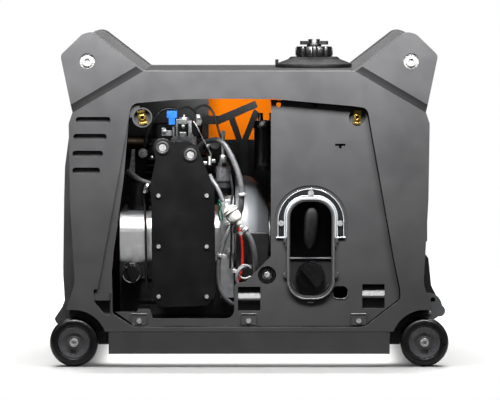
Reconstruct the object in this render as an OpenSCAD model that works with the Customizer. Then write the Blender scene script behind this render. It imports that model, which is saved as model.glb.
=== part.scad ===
// Portable inverter generator on four fixed wheels, with the service side open.
// +X points to the air intake end, -Y to the service side and +Z up. The origin is on the ground,
// under the middle of the machine. Sizes are in millimetres.

/* [Body] */
// Length of the side shells, end to end
body_l = 567; // [567:1:700]
// Width over the two side shells
body_w = 445; // [445:1:560]
// Height of the top deck above the ground
deck_z = 461; // [461:1:570]
// Height of the ears' tops above the deck
ear_rise = 60; // [52:1:80]
// Wall of the moulded shells
shell_t = 3; // [2.4:0.1:4]
// Depth of each side shell, from its face inwards
side_depth = 75; // [66:1:80]
// Height of the base rails above the ground
rail_z = 21; // [15:1:28]

/* [Wheels] */
// Outer diameter of a wheel
wheel_d = 76; // [64:1:92]
// Width of a wheel
wheel_w = 30; // [24:1:36]
// Diameter of the axle bolts
axle_d = 10; // [8:1:12]
// Gap between a wheel and the arch round it
arch_gap = 14; // [8:1:18]

/* [Carry bars] */
// Outer diameter of a carry bar
bar_d = 32; // [26:1:38]
// Diameter of the bolts that hold the carry bars
bar_bolt_d = 10; // [8:1:12]

/* [Engine] */
// Height of the crankshaft above the ground
crank_z = 178; // [172:1:182]
// Diameter of the crankshaft's main journals
journal_d = 34; // [28:1:40]
// Outer radius of the fan shroud
shroud_r = 110; // [104:1:114]
// Cylinder bore
bore_d = 70; // [58:1:84]

/* [Starter] */
// Width of the oval starter recess, outside
recess_w = 71; // [62:1:80]
// Radius at which the rope lies on the pulley
rope_r = 44; // [38:0.1:47]
// Diameter of the starter rope
rope_d = 4.4; // [3.4:0.1:5.4]
// Diameter of the choke dial
dial_d = 45; // [36:1:54]

/* [Fuel] */
// Diameter of the filler cap
cap_d = 61; // [56:1:74]
// Height of the filler cap
cap_h = 16; // [13:1:20]
// Bore of the filler neck
neck_bore = 40; // [33:1:42]

/* [Pull handle] */
// Diameter of the pull handle's grip
grip_d = 12; // [10:1:15]
// Width of the pull handle over its arms
handle_w = 248; // [200:1:270]

/* [Hidden] */

$fn = 48;
fit = 0.05;                        // radial clearance of a running fit
gap = 1.5;                         // clearance between neighbouring panels
over = 1;                          // how far a cut runs past a face

half_l = body_l / 2;
half_w = body_w / 2;
half_in = half_w - side_depth;     // half the space between the side shells
base_z = 56;                       // seam between the base and the side shells
floor_z = 36;                      // top of the base's floor
wheel_r = wheel_d / 2;
wheel_x = half_l - 10;
arch_r = wheel_r + arch_gap;
wheel_in = 5;                      // from a side's face to the wheel's outer face
well_d = wheel_in + wheel_w + 10;  // depth of a wheel well
rail_x = wheel_x - arch_r - 2.5;   // half length of a base rail
rail_w = 30;
side_y = half_w - well_d - 0.5;     // outer face of the wheel cheeks
foot_y = side_y - 6;               // their inner face
boss_r = axle_d / 2 + 8;           // boss round each axle bolt

// ears and carry bars
ear_x = half_l - 33.4;
ear_foot_x = half_l - 118.7;
ear_foot_z = deck_z - 64;          // outer foot of an ear
bar_x = half_l - 32.5;
bar_z = deck_z + bar_d / 2;
bar_r = bar_d / 2;
bolt_r = bar_bolt_d / 2;
cheek_t = 3;                       // wall that a carry bar's end stands on

// service opening and the panel behind it
panel_in = 10;                     // from the side's face to the inner panel's face
panel_t = 3;
ledge_in = 4;

// engine
crank_x = -115;                    // middle of the cylinder, along the crankshaft
crank_y = -30;
journal_r = journal_d / 2;
tail_r = 14;                       // crankshaft, past the crankcase
case_x = [-205, -24];
case_y = [-130, 70];
case_z = [62, 235];
block_top = 325;
head_top = 372;
port_y = 8;                        // exhaust port
port_z = 341.5;

// recoil starter and its recess
start_x = 96;
rope_z = crank_z + rope_r;
recess_y = -half_w + 5.5;          // front rim of the starter recess
recess_back = recess_y + 67;
recess_z = [106.6, 262];
shelf_z = 168;
dial_z = 140;
dial_r = dial_d / 2;
dial_y = recess_y + 37;            // face that the choke dial turns on

// fuel
fill_x = 106;
fill_y = 45;
cap_r = cap_d / 2;
cap_z = deck_z + 18;               // underside of the filler cap
neck_r = neck_bore / 2 + 2.2;
tank_x = [52, 262];
tank_y = [-140, 140];
tank_top = deck_z - 14;

// pull handle
pivot_x = half_l + 18.5;
pivot_z = 79;
pivot_r = 4;
arm_t = 6;

// ---- helpers ----

function unit(v) = v / norm(v);
function at(c, i) = c[(i + len(c)) % len(c)];
function flat(p) = [p[0], p[1]];

// The arc that rounds corner b between its neighbours a and c
function corner(a, b, c, r, n = 8) =
    let (u = unit(a - b), v = unit(c - b), h = acos(u * v) / 2)
    r <= 0 || h > 88 ? [b] :
    let (m = b + unit(u + v) * r / sin(h), s = b + u * r / tan(h), e = b + v * r / tan(h))
    let (a0 = atan2(s[1] - m[1], s[0] - m[0]), a1 = atan2(e[1] - m[1], e[0] - m[0]))
    let (d = a1 - a0 > 180 ? a1 - a0 - 360 : a1 - a0 < -180 ? a1 - a0 + 360 : a1 - a0)
    [for (i = [0:n]) m + r * [cos(a0 + d * i / n), sin(a0 + d * i / n)]];

// A list of corners [x, z, radius] turned into points
function rounded(c) = [for (i = [0:len(c) - 1])
    each corner(flat(at(c, i - 1)), flat(c[i]), flat(at(c, i + 1)), c[i][2])];

// The same corners, each edge moved inwards by t; the corners run anticlockwise
function inset(c, t) = [for (i = [0:len(c) - 1])
    let (q = flat(c[i]), d1 = unit(q - flat(at(c, i - 1))), d2 = unit(flat(at(c, i + 1)) - q))
    let (n1 = [-d1[1], d1[0]], n2 = [-d2[1], d2[0]], m = q + t * (n1 + n2) / (1 + n1 * n2))
    let (turn = sign(d1[0] * d2[1] - d1[1] * d2[0]))
    [m[0], m[1], c[i][2] == 0 ? 0 : max(0.01, c[i][2] - t * turn)]];

function mirrored(c) = concat(c, [for (i = [len(c) - 1:-1:0]) [-c[i][0], c[i][1], c[i][2]]]);
function rect(x0, x1, z0, z1, r = 0) = [[x0, z0, r], [x1, z0, r], [x1, z1, r], [x0, z1, r]];

// A rounded outline in X and Z, from y0 to y1
module slab(c, y0, y1) {
    translate([0, y1, 0]) rotate([90, 0, 0]) linear_extrude(y1 - y0) polygon(rounded(c));
}

// A rounded outline in Y and Z, from x0 to x1
module wall(c, x0, x1) {
    translate([x0, 0, 0]) rotate([90, 0, 90]) linear_extrude(x1 - x0) polygon(rounded(c));
}

// A rounded outline in X and Y, from z0 to z1
module deck(c, z0, z1) {
    translate([0, 0, z0]) linear_extrude(z1 - z0) polygon(rounded(c));
}

module box(x, y, z) {
    translate([x[0], y[0], z[0]]) cube([x[1] - x[0], y[1] - y[0], z[1] - z[0]]);
}

module rod_x(r, x0, x1, y, z) {
    translate([x0, y, z]) rotate([0, 90, 0]) cylinder(r = r, h = x1 - x0);
}

module rod_y(r, x, y0, y1, z) {
    translate([x, y1, z]) rotate([90, 0, 0]) cylinder(r = r, h = y1 - y0);
}

module rod_z(r, x, y, z0, z1) {
    translate([x, y, z0]) cylinder(r = r, h = z1 - z0);
}

// A profile [radius, x] turned about the crankshaft's line
module turned_x(c) {
    translate([0, crank_y, crank_z]) rotate([0, 90, 0]) rotate_extrude() polygon(rounded(c));
}

module both_ends() {
    children();
    mirror([1, 0, 0]) children();
}

module both_sides() {
    children();
    mirror([0, 1, 0]) children();
}

// A hose along a smooth curve through the points p
function smooth(p, n) = concat([for (i = [0:len(p) - 2]) for (k = [0:n - 1])
    let (t = k / n, a = p[max(0, i - 1)], b = p[i], c = p[i + 1], d = p[min(len(p) - 1, i + 2)])
    0.5 * (2 * b + (c - a) * t + (2 * a - 5 * b + 4 * c - d) * t * t
        + (3 * b - a - 3 * c + d) * t * t * t)], [p[len(p) - 1]]);

module tube(p, r, sides = 12, steps = 6) {
    c = smooth(p, steps);
    last = len(c) - 1;
    points = [for (i = [0:last])
        let (t = unit(c[min(last, i + 1)] - c[max(0, i - 1)]), u = unit(cross(t, [0, 1, 0])))
        let (v = cross(t, u))
        for (k = [0:sides - 1]) c[i] + r * (cos(360 * k / sides) * u + sin(360 * k / sides) * v)];
    sides_faces = [for (i = [0:last - 1]) for (k = [0:sides - 1])
        let (a = i * sides, k1 = (k + 1) % sides)
        [a + k, a + sides + k, a + sides + k1, a + k1]];
    polyhedron(points, concat(sides_faces, [[for (k = [0:sides - 1]) k],
        [for (k = [sides - 1:-1:0]) last * sides + k]]));
}

// ---- body shells ----

side_outline = mirrored([
    [half_l, base_z, 0], [half_l, base_z + 39, 4], [half_l - 12, base_z + 75, 30],
    [half_l - 5, base_z + 205, 60], [half_l - 3.5, deck_z - 81, 12], [half_l - 9.2, ear_foot_z, 4],
    [half_l + 9, deck_z + 25, 9.4], [ear_x, deck_z + ear_rise + 5.9, 18.8], [ear_foot_x, deck_z, 8]]);

ear_outline = [[ear_foot_x + 4, deck_z - 8, 0], [half_l - 20, ear_foot_z + 4, 0],
    [half_l - 10, ear_foot_z, 0], [half_l + 9, deck_z + 25, 9.4],
    [ear_x, deck_z + ear_rise + 5.9, 18.8], [ear_foot_x, deck_z, 8]];

// A wedge along an ear's foot, drawn for the intake end: its section runs in [depth, height]
module along_ear_foot(section) {
    angle = atan2(deck_z - ear_foot_z, half_l - 9.2 - ear_foot_x);
    run = norm([deck_z - ear_foot_z, half_l - 9.2 - ear_foot_x]);
    translate([ear_foot_x, -half_w, deck_z]) rotate([0, angle, 0])
        translate([-6, 0, 0]) rotate([90, 0, 90]) linear_extrude(run + 8) polygon(section);
}

groove_deep = 8;
groove_wide = 12;

module ear_groove() {
    along_ear_foot([[-over, 0], [groove_deep, 0], [0, groove_wide], [-over, groove_wide]]);
}

module ear_groove_back() {
    along_ear_foot([[shell_t - 0.5, -shell_t], [groove_deep + shell_t, -shell_t],
        [groove_deep + shell_t, 1], [shell_t, groove_wide + 3], [shell_t - 0.5, groove_wide + 3]]);
}

// The moulded tray both side shells start from, open towards the middle of the machine
module side_tray() {
    inner = -half_w + side_depth;
    difference() {
        union() {
            difference() {
                slab(side_outline, -half_w, inner);
                slab(inset(side_outline, shell_t), -half_w + shell_t, inner + over);
            }
            both_ends() {
                slab(inset(ear_outline, 0.5), inner - cheek_t, inner);
                rod_y(bolt_r + 11, bar_x, -half_w + 1, inner, bar_z);
                intersection() {
                    ear_groove_back();
                    slab(side_outline, -half_w, inner);
                }
                intersection() {
                    rod_y(arch_r + shell_t, wheel_x, -half_w, -half_w + well_d + shell_t, wheel_r);
                    slab(side_outline, -half_w, inner);
                }
            }
        }
        both_ends() {
            rod_y(arch_r, wheel_x, -half_w - over, -half_w + well_d, wheel_r);
            rod_y(boss_r + 0.5, wheel_x, -half_w - over, -foot_y + 0.5, wheel_r);
            ear_groove();
            rod_y(bolt_r + fit, bar_x, -half_w - over, inner + over, bar_z);
            rod_y(bolt_r + 7.2, bar_x, -half_w - over, -half_w + 5, bar_z);
        }
    }
}

// Service opening, and the wider rabbet that the service cover sits in
open_bottom = base_z + 6.5;
open_top = deck_z - 50;
right_edge = [
    [173, open_bottom, 6], [183, open_bottom + 2.5, 8], [235.7, open_bottom + 43.5, 10],
    [235, open_bottom + 60, 0], [226.4, open_bottom + 101, 0], [209, open_top - 150, 0],
    [183.4, open_top - 6.5, 12], [160, open_top - 3.6, 0], [38.3, open_top + 7.3, 0],
    [-61.6, open_top + 7.8, 0], [-116.5, open_top + 6.2, 0], [-184.8, open_top, 14]];
left_low = [[-214, open_bottom + 87, 0], [-212.9, open_bottom + 21, 6], [-180, open_bottom, 6]];
opening = concat(right_edge,
    [[-195.4, open_top - 119, 0], [-210.7, open_top - 228, 0]], left_low);
rabbet = concat(right_edge, [[-185.2, open_top - 12.5, 0], [-207, open_top - 135, 0],
    [-237, open_bottom + 54.5, 0], [-214.3, open_bottom + 54.5, 0]],
    [[-212.9, open_bottom + 21, 6], [-180, open_bottom, 6]]);

// Clip boss in the upper left corner of the service opening
clip_x = [-166, 168];
clip_z = open_top - 21.5;
clip_r = 13.3;

module service_side_shell() color("#4a4a4c") {
    y = -half_w;
    hook = [[-242.6, open_bottom + 60.7, 3], [-241, open_bottom + 37.2, 3],
        [-227, open_bottom + 19, 2], [-215.3, open_bottom + 19, 2], [-215.3, open_bottom + 54.5, 2]];
    difference() {
        union() {
            side_tray();
            slab(inset(rabbet, -shell_t), y + 0.5, y + panel_in + panel_t);
            slab(inset(hook, -shell_t), y + 0.5, y + 16);
            for (i = [0:3]) slot_block(i);
        }
        slab(rabbet, y - over, y + ledge_in);
        difference() {
            slab(opening, y, y + side_depth);
            rod_y(clip_r + 2.2, clip_x[0], y, y + panel_in + panel_t, clip_z);
            box([-186, clip_x[0] - 4], [y, y + panel_in + panel_t], [clip_z, open_top + 5]);
        }
        rod_y(clip_r, clip_x[0], y, y + panel_in, clip_z);
        rod_y(2.6, clip_x[0], y, y + 30, clip_z);
        slab(hook, y - over, y + 4);
        slab(inset(hook, 1.6), y, y + 13);
        for (i = [0:3]) slot_cut(i);
    }
    slab([[-242, open_bottom + 42, 0], [-216, open_bottom + 42, 0], [-216, open_bottom + 57, 0],
        [-240, open_bottom + 58, 0]], y + 3, y + 5);
    rod_x(5.6, wheel_x - 17, wheel_x + 12, y + well_d - 3.9, wheel_r + wheel_r + 3);
}

// Four sunk grip slots in the upper left of the service side
slot_h = 9.6;
slot_x = [-273, -276.8, -278.3, -278.6];
slot_end = [-215.2, -221, -226.8, -231.6];

function slot_z(i) = deck_z - 80 - 26.2 * i;

module slot_cut(i) {
    slab(rect(slot_x[i] + 4, slot_end[i], slot_z(i), slot_z(i) + slot_h, slot_h / 2 - 0.1),
        -half_w - over, -half_w + 5);
}

module slot_block(i) {
    slab(rect(slot_x[i] + 2, slot_end[i] + 2, slot_z(i) - 2, slot_z(i) + slot_h + 2, 4),
        -half_w + 1, -half_w + 7);
}

panel_open = rect(-175, 175, base_z + 76, deck_z - 62, 22);

module control_side_shell() color("#4a4a4c") {
    difference() {
        union() {
            mirror([0, 1, 0]) side_tray();
            slab(inset(panel_open, -shell_t), half_w - 10, half_w - 0.5);
        }
        slab(panel_open, half_w - 12, half_w + over);
    }
}

// ---- covers between the side shells ----

cover_w = half_in - 0.5;
shoulder = [half_l - 2.5, deck_z - 81];

module top_cover() color("#505052") {
    outer = [[-shoulder[0], shoulder[1], 0], [shoulder[0], shoulder[1], 0],
        [ear_foot_x, deck_z, 12], [-ear_foot_x, deck_z, 12]];
    difference() {
        slab(outer, -cover_w, cover_w);
        slab([[-shoulder[0] - over, shoulder[1] - over, 0], [shoulder[0] + over, shoulder[1] - over, 0],
            [shoulder[0] - 4, shoulder[1], 0], [ear_foot_x - 1.2, deck_z - shell_t, 9],
            [1.2 - ear_foot_x, deck_z - shell_t, 9], [4 - shoulder[0], shoulder[1], 0]],
            -cover_w - over, cover_w + over);
        rod_z(neck_r + 3, fill_x, fill_y, deck_z - 10, deck_z + over);
        for (i = [0:17])
            translate([-130 + 14 * i, -cover_w + 14, deck_z]) rotate([0, 0, -35])
                cube([3.4, 26, 20], center = true);
    }
    both_sides() for (x = [-110, 0, 60]) box([x, x + 3], [cover_w - 46, cover_w], [deck_z - 10, deck_z - 2]);
}

// Both end covers are closed by cheeks beside the side shells
module end_cover(c) {
    difference() {
        slab(c, -cover_w, cover_w);
        slab(inset(concat([[half_l - 63, base_z - 8, 0]], [for (i = [1:len(c) - 2]) c[i]],
            [[half_l - 63, shoulder[1] + 3.5, 0]]), shell_t), -cover_w + shell_t, cover_w - shell_t);
    }
}

exhaust_y = 90;
exhaust_z = 250;
pipe_r = 17;

module exhaust_end_cover() color("#4a4a4c") {
    c = [[half_l - 21.5, base_z + 0.5, 0], [half_l - 1, base_z + 0.5, 4], [half_l + 8, base_z + 38, 6],
        [half_l + 10.5, base_z + 83, 30], [half_l + 8.5, base_z + 205, 60],
        [half_l + 7, base_z + 253, 40], [shoulder[0], shoulder[1] - 0.6, 0],
        [half_l - 21.5, shoulder[1] - 0.6, 0]];
    foot = [[half_l - 3, base_z + 2, 0], [half_l + 22, base_z + 2, 2], [half_l + 26, base_z + 10, 3],
        [half_l + 13, base_z + 29, 3], [half_l + 9, base_z + 41, 2], [half_l + 5, base_z + 41, 0]];
    mirror([1, 0, 0]) difference() {
        union() {
            end_cover(c);
            for (y = [-125, 85]) slab(foot, y, y + 40);
        }
        rod_x(pipe_r + 9, half_l - 33, half_l + 37, exhaust_y, exhaust_z);
        for (i = [0:7]) for (y = [-120, -52])
            box([half_l - 33, half_l + 37], [y, y + 60], [160 + 22 * i, 167 + 22 * i]);
    }
}

module intake_end_cover() color("#4a4a4c") {
    c = [[half_l - 31.5, base_z + 0.5, 0], [half_l - 2.5, base_z + 0.5, 4], [half_l - 2.5, base_z + 46, 3],
        [half_l - 14.5, base_z + 60, 3], [half_l - 14.5, base_z + 122, 3],
        [half_l - 2.5, base_z + 136, 3], [shoulder[0], shoulder[1] - 0.6, 0],
        [half_l - 31.5, shoulder[1] - 0.6, 0]];
    difference() {
        end_cover(c);
        for (i = [0:7]) for (y = [-120, -34, 52])
            box([half_l - 43, half_l + 37], [y, y + 70], [212 + 19 * i, 219 + 19 * i]);
    }
}

module base_tray() color("#3c3c3e") {
    top = base_z - 1;
    difference() {
        union() {
            box([-rail_x, rail_x], [-half_w + rail_w, half_w - rail_w], [floor_z - 5, floor_z]);
            box([-half_l + 3, half_l - 3], [-foot_y, foot_y], [floor_z - 5, floor_z]);
            both_sides() {
                difference() {
                    box([-rail_x, rail_x], [-half_w, -half_w + rail_w], [rail_z, top]);
                    box([3 - rail_x, rail_x - 3], [3 - half_w, rail_w - 3 - half_w], [rail_z - over, top - 4]);
                }
                both_ends() {
                    box([rail_x - 4, half_l], [-side_y, -foot_y], [floor_z - 5, top]);
                    rod_y(boss_r, wheel_x, -side_y - 8, -foot_y, wheel_r);
                    box([rail_x - 4, rail_x], [rail_w - half_w, -side_y], [floor_z - 5, top]);
                }
            }
            both_ends() box([half_l - 5, half_l], [-side_y, side_y], [floor_z - 5, top]);
        }
        both_sides() both_ends()
            rod_y(axle_d / 2, wheel_x, -half_w, -foot_y - 2, wheel_r);
        for (x = [-150:50:150]) box([x - 14, x + 14], [-120, -112], [floor_z - 6, floor_z + over]);
    }
}

// ---- carry bars ----

module carry_bars() color("#3a3a3c") {
    both_ends() difference() {
        rod_y(bar_r, bar_x, -half_in, half_in, bar_z);
        rod_y(bolt_r, bar_x, -half_in - over, -half_in + 26, bar_z);
        rod_y(bolt_r, bar_x, half_in - 26, half_in + over, bar_z);
    }
}

module socket_bolt() {
    difference() {
        union() {
            rod_y(bolt_r + 7, bar_x, -half_w + 3.4, -half_w + 5, bar_z);
            rod_y(bolt_r + 3, bar_x, -half_w, -half_w + 3.5, bar_z);
            rod_y(bolt_r, bar_x, -half_w, -half_in + 24, bar_z);
        }
        translate([bar_x, -half_w + 2.5, bar_z]) rotate([90, 0, 0]) cylinder(r = 4.4, h = 6, $fn = 6);
    }
}

module carry_bar_bolts() color("silver") both_sides() both_ends() socket_bolt();

// ---- service side panel ----

panel_y = -half_w + panel_in;
panel_outline = concat([
    [173, open_bottom + gap, 6], [182, open_bottom + 4, 8], [234.2, open_bottom + 44.5, 10],
    [233.5, open_bottom + 60, 0], [224.9, open_bottom + 101, 0], [207.5, open_top - 150, 0],
    [181.9, open_top - 8, 12], [160, open_top - 5.1, 0], [38.3, open_top + 5.8, 0],
    [33.8, open_top + 5.8, 0], [33.8, crank_z - 5.3, 0], [-5, crank_z - 44.7, 8],
    [-23.3, crank_z - 48.6, 5], [-23.3, open_bottom + 12.8, 14], [-150.4, open_bottom + 12.8, 3],
    [-155, open_bottom + 28, 5], [-173.5, open_bottom + 28, 3], [-175.4, open_bottom + 23.3, 0],
    [-208.5, open_bottom + 23.3, 0], [-178, open_bottom + gap, 6]]);
hook_x = [0, 193.8];
hook_z = [open_bottom + 24.7, open_bottom + 28.9];
tab_x = [-171.8, -0.9, 170.9];
tab_z = open_bottom + 9.5;
flange_r = 52.4;
flange_z = rope_z + 5;
flange_screws = [[start_x, flange_z + 44.7], [start_x - 46, flange_z - 2.4], [start_x + 45.6, flange_z - 2.4]];
flange_foot = rope_z - 19;
recess_r = recess_w / 2 - 7;
recess_outline = rect(start_x - recess_w / 2, start_x + recess_w / 2, recess_z[0], recess_z[1], recess_r);
flange_outline = [[start_x - flange_r, flange_foot, 0], [start_x + flange_r, flange_foot, 0],
    [start_x + flange_r, flange_z + flange_r, flange_r - 0.1],
    [start_x - flange_r, flange_z + flange_r, flange_r - 0.1]];

// A pocket for one of the service cover's hooks: a sill slot below and a ramp above it
module hook_pocket(x, z) {
    box([x - 17.5, x + 17.5], [panel_y - over, panel_y + 11], [z, z + 17]);
    wall([[panel_y - over, z + 20, 0], [panel_y + 1, z + 20, 0], [panel_y + 11, z + 38, 0],
        [panel_y - over, z + 38, 0]], x - 17.5, x + 17.5);
}

module inner_panel() color("#555558") {
    back = panel_y + panel_t;
    difference() {
        union() {
            slab(panel_outline, panel_y, back);
            for (i = [0, 1]) intersection() {
                box([hook_x[i] - 20.5, hook_x[i] + 20.5], [panel_y, panel_y + 14], [hook_z[i] - 3, hook_z[i] + 42]);
                slab(panel_outline, panel_y, panel_y + 14);
            }
            for (x = tab_x) slab(rect(x - 12, x + 12, tab_z - 6, tab_z + 11, 4), panel_y - 3, back);
            rod_y(clip_r + 2, clip_x[1], panel_y, panel_y + 8, clip_z);
            slab(inset(flange_outline, -5), panel_y, back + 2);
        }
        for (i = [0, 1]) hook_pocket(hook_x[i], hook_z[i]);
        slab(inset(flange_outline, -4.6), panel_y - over, panel_y + 1.2);
        slab(inset(recess_outline, -0.3), panel_y - over, back + 4);
        for (x = tab_x) rod_y(2, x, panel_y - 5, back + over, tab_z);
        for (p = flange_screws) rod_y(2, p[0], panel_y - over, back + 4, p[1]);
        rod_y(clip_r, clip_x[1], panel_y - over, panel_y + 5, clip_z);
        rod_y(2.6, clip_x[1], panel_y - over, panel_y + 12, clip_z);
        for (x = [45.6, 103]) rod_y(3.9, x, panel_y - over, back + over, open_top - 2);
        slab(rect(133.5, 149.6, open_top - 66, open_top - 62.5, 1), panel_y - over, back + over);
        box([139.5, 143.5], [panel_y - over, back + over], [open_top - 70, open_top - 63]);
        rod_y(14.2, 27.8, panel_y - over, back + over, dial_z + 3.5);
        slab(rect(130, 153.8, 106.5, 126.3, 8), panel_y - over, back + over);
    }
}

module recess_flange() color("#d9dcdf", 0.6) {
    difference() {
        slab(flange_outline, panel_y - 1.2, panel_y + 1.2);
        slab(inset(recess_outline, -0.6), panel_y - 3, panel_y + 3);
        for (p = flange_screws) rod_y(2, p[0], panel_y - 3, panel_y + 3, p[1]);
    }
    for (s = [-1, 1])
        box([start_x + s * 46 - 5.5, start_x + s * 46 + 5.5], [panel_y - 3.2, panel_y - 1.2],
            [flange_foot, flange_foot + 3]);
}

module starter_recess() color("#3c3c3e") {
    difference() {
        union() {
            difference() {
                slab(recess_outline, recess_y, recess_back);
                slab(inset(recess_outline, 3), recess_y - over, recess_back - 3);
            }
            intersection() {
                slab(inset(recess_outline, 2), recess_y, recess_back);
                box([start_x - 60, start_x + 60], [dial_y, recess_back], [recess_z[0], shelf_z]);
            }
            rod_y(rope_d / 2 + 6, start_x, recess_back - 8, recess_back, rope_z);
            for (s = [-1, 1]) for (z = [shelf_z + 20, dial_z - 1])
                box([start_x + s * (recess_w / 2 + 2) - 2.5, start_x + s * (recess_w / 2 + 2) + 2.5],
                    [recess_y + 1, recess_y + 4], [z, z + 10]);
        }
        rod_y(rope_d / 2 + 1, start_x, recess_y, recess_back + over, rope_z);
        rod_y(5 + fit, start_x, dial_y - over, dial_y + 16, dial_z);
    }
}

// ---- small fasteners ----

cleaner_y = -half_w + 21.5;        // outer face of the air cleaner's cover
cleaner_screws = [for (z = [108.8, 187.3, 267]) for (x = [-141.6, -66.4]) [x, z]];
cleaner_bolts = [[-135.1, 341.6], [-91.6, 330.6]];

module pan_screw(x, y, z, r = 3.9, long = 9) {
    rod_y(r, x, y - 2.4, y, z);
    rod_y(2 - fit, x, y, y + long, z);
}

module small_screws() color("silver") {
    for (x = tab_x) pan_screw(x, panel_y - 3, tab_z);
    for (p = flange_screws) pan_screw(p[0], panel_y - 1.2, p[1], 4.4, 5);
    for (p = cleaner_screws) pan_screw(p[0], cleaner_y, p[1], 3.1);
    for (p = cleaner_bolts) pan_screw(p[0], cleaner_y + 2, p[1], 5.6);
}

module cover_clips() color("#b08d3c") {
    for (i = [0, 1]) translate([clip_x[i], -half_w + [panel_in, panel_in + 5][i], clip_z])
        rotate([0, [-12, 4][i], 0]) difference() {
            union() {
                box([-6.3, 6.3], [-2.5, 0], [-11, 11]);
                box([-6.3, 6.3], [-5, -2.5], [8, 11]);
                box([-6.3, 6.3], [-5, -2.5], [-11, -8]);
                rod_y(4.6, 0, -5.5, -2.5, 0);
            }
            rod_y(2.6, 0, -10, over, 0);
        }
}

// ---- engine ----

// A casting with cooling fins: n plates round a core, from z0 upwards
module fins(x, y, z0, n, pitch, t) {
    for (i = [0:n - 1])
        deck([[x[0], y[0], 8], [x[1], y[0], 8], [x[1], y[1], 8], [x[0], y[1], 8]],
            z0 + i * pitch, z0 + i * pitch + t);
}

foot_at = [for (x = [-185, -45]) for (y = [-105, 45]) [x, y]];
column_x = [-47, -24];

module crankcase() color("#8d9094") {
    wall_t = 6;
    difference() {
        union() {
            wall([[case_y[0], case_z[0], 14], [case_y[1], case_z[0], 14], [case_y[1], case_z[1], 10],
                [case_y[0], case_z[1], 30]], case_x[0], case_x[1]);
            box(column_x, [case_y[0] - 6, case_y[0] + 24], [118, case_z[1] + 26]);
            rod_y(16, oil_x, case_y[0] - 26, case_y[0] + 10, oil_z);
            for (z = [95, 130]) box([case_x[0] + 10, case_x[1] - 34], [case_y[0] - 3, case_y[0]], [z, z + 3]);
        }
        difference() {
            wall([[case_y[0] + wall_t, case_z[0] + wall_t, 10], [case_y[1] - wall_t, case_z[0] + wall_t, 10],
                [case_y[1] - wall_t, case_z[1] - wall_t, 6], [case_y[0] + wall_t, case_z[1] - wall_t, 24]],
                case_x[0] + wall_t, case_x[1] - wall_t);
            rod_x(journal_r + 9, case_x[0], case_x[0] + 18, crank_y, crank_z);
            rod_x(journal_r + 9, case_x[1] - 22, case_x[1], crank_y, crank_z);
            rod_y(20, oil_x, case_y[0] - 1, case_y[0] + 14, oil_z);
        }
        rod_x(journal_r + fit, case_x[0] + 3, case_x[0] + 30, crank_y, crank_z);
        rod_x(journal_r + fit, case_x[1] - 30, case_x[1] + over, crank_y, crank_z);
        rod_y(oil_r + fit, oil_x, case_y[0] - 30, case_y[0] + 12, oil_z);
        rod_z(bore_d / 2 + 4, crank_x, crank_y, case_z[1] - 12, case_z[1] + over);
        for (p = cover_bolts) rod_y(2 - fit, p[0], case_y[0] - 10, case_y[0] + 8, p[1]);
    }
    for (p = cover_bolts) rod_y(4.2, p[0], case_y[0] - 9.5, case_y[0] - 6, p[1]);
}

cover_bolts = [[-37.4, 204.8], [-37.4, 144.9]];
oil_x = -185.6;
oil_z = 140.7;
oil_r = 9;

module cylinder_block() color("#45474a") {
    difference() {
        union() {
            rod_z(bore_d / 2 + 7, crank_x, crank_y, case_z[1], block_top);
            deck([[crank_x - 50, crank_y - 50, 6], [crank_x + 50, crank_y - 50, 6],
                [crank_x + 50, crank_y + 50, 6], [crank_x - 50, crank_y + 50, 6]], case_z[1], case_z[1] + 8);
            fins([crank_x - 52, crank_x + 52], [crank_y - 50, crank_y + 50], case_z[1] + 16, 7, 11, 3);
            rod_z(15, -178, crank_y - 34, case_z[1], case_z[1] + 44);
            rod_z(17, -178, crank_y - 34, case_z[1] + 4, case_z[1] + 8);
            box([-180, crank_x], [crank_y - 40, crank_y - 28], [case_z[1], case_z[1] + 30]);
        }
        rod_z(bore_d / 2, crank_x, crank_y, case_z[1] - over, block_top + over);
    }
}

module cylinder_head() color("#45474a") {
    difference() {
        union() {
            deck([[crank_x - 46, crank_y - 46, 8], [crank_x + 46, crank_y - 46, 8],
                [crank_x + 46, crank_y + 46, 8], [crank_x - 46, crank_y + 46, 8]], block_top, head_top - 22);
            deck([[crank_x - 40, crank_y - 38, 12], [crank_x + 40, crank_y - 38, 12],
                [crank_x + 40, crank_y + 38, 12], [crank_x - 40, crank_y + 38, 12]], head_top - 22, head_top);
            fins([crank_x - 50, crank_x + 50], [crank_y - 48, crank_y + 48], block_top + 4, 2, 11, 3);
        }
        rod_y(12, -104, crank_y - 60, crank_y - 30, 335);
        rod_x(11, crank_x - 60, crank_x - 30, port_y, port_z);
    }
}

module engine_mounts() color("#232325") {
    for (p = foot_at) difference() {
        union() {
            rod_z(14, p[0], p[1], floor_z, floor_z + 5);
            rod_z(11, p[0], p[1], floor_z, case_z[0]);
            rod_z(14, p[0], p[1], case_z[0] - 5, case_z[0]);
        }
        rod_z(4, p[0], p[1], floor_z - over, case_z[0] + over);
    }
}

cleaner_outline = [[-138.3, 91.3, 10], [-66, 93.5, 10], [-52.8, 109.9, 12], [-53.9, 274.5, 20],
    [-74.7, 328.4, 10], [-79.3, 341.6, 8], [-94.6, 352.5, 8], [-120.8, 351.4, 6], [-136.2, 355.8, 8],
    [-149.8, 343.8, 8], [-146, 324.1, 10], [-154.9, 280.1, 12], [-152.7, 248.2, 20], [-151.6, 105.5, 12]];
cleaner_deep = 55;

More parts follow.
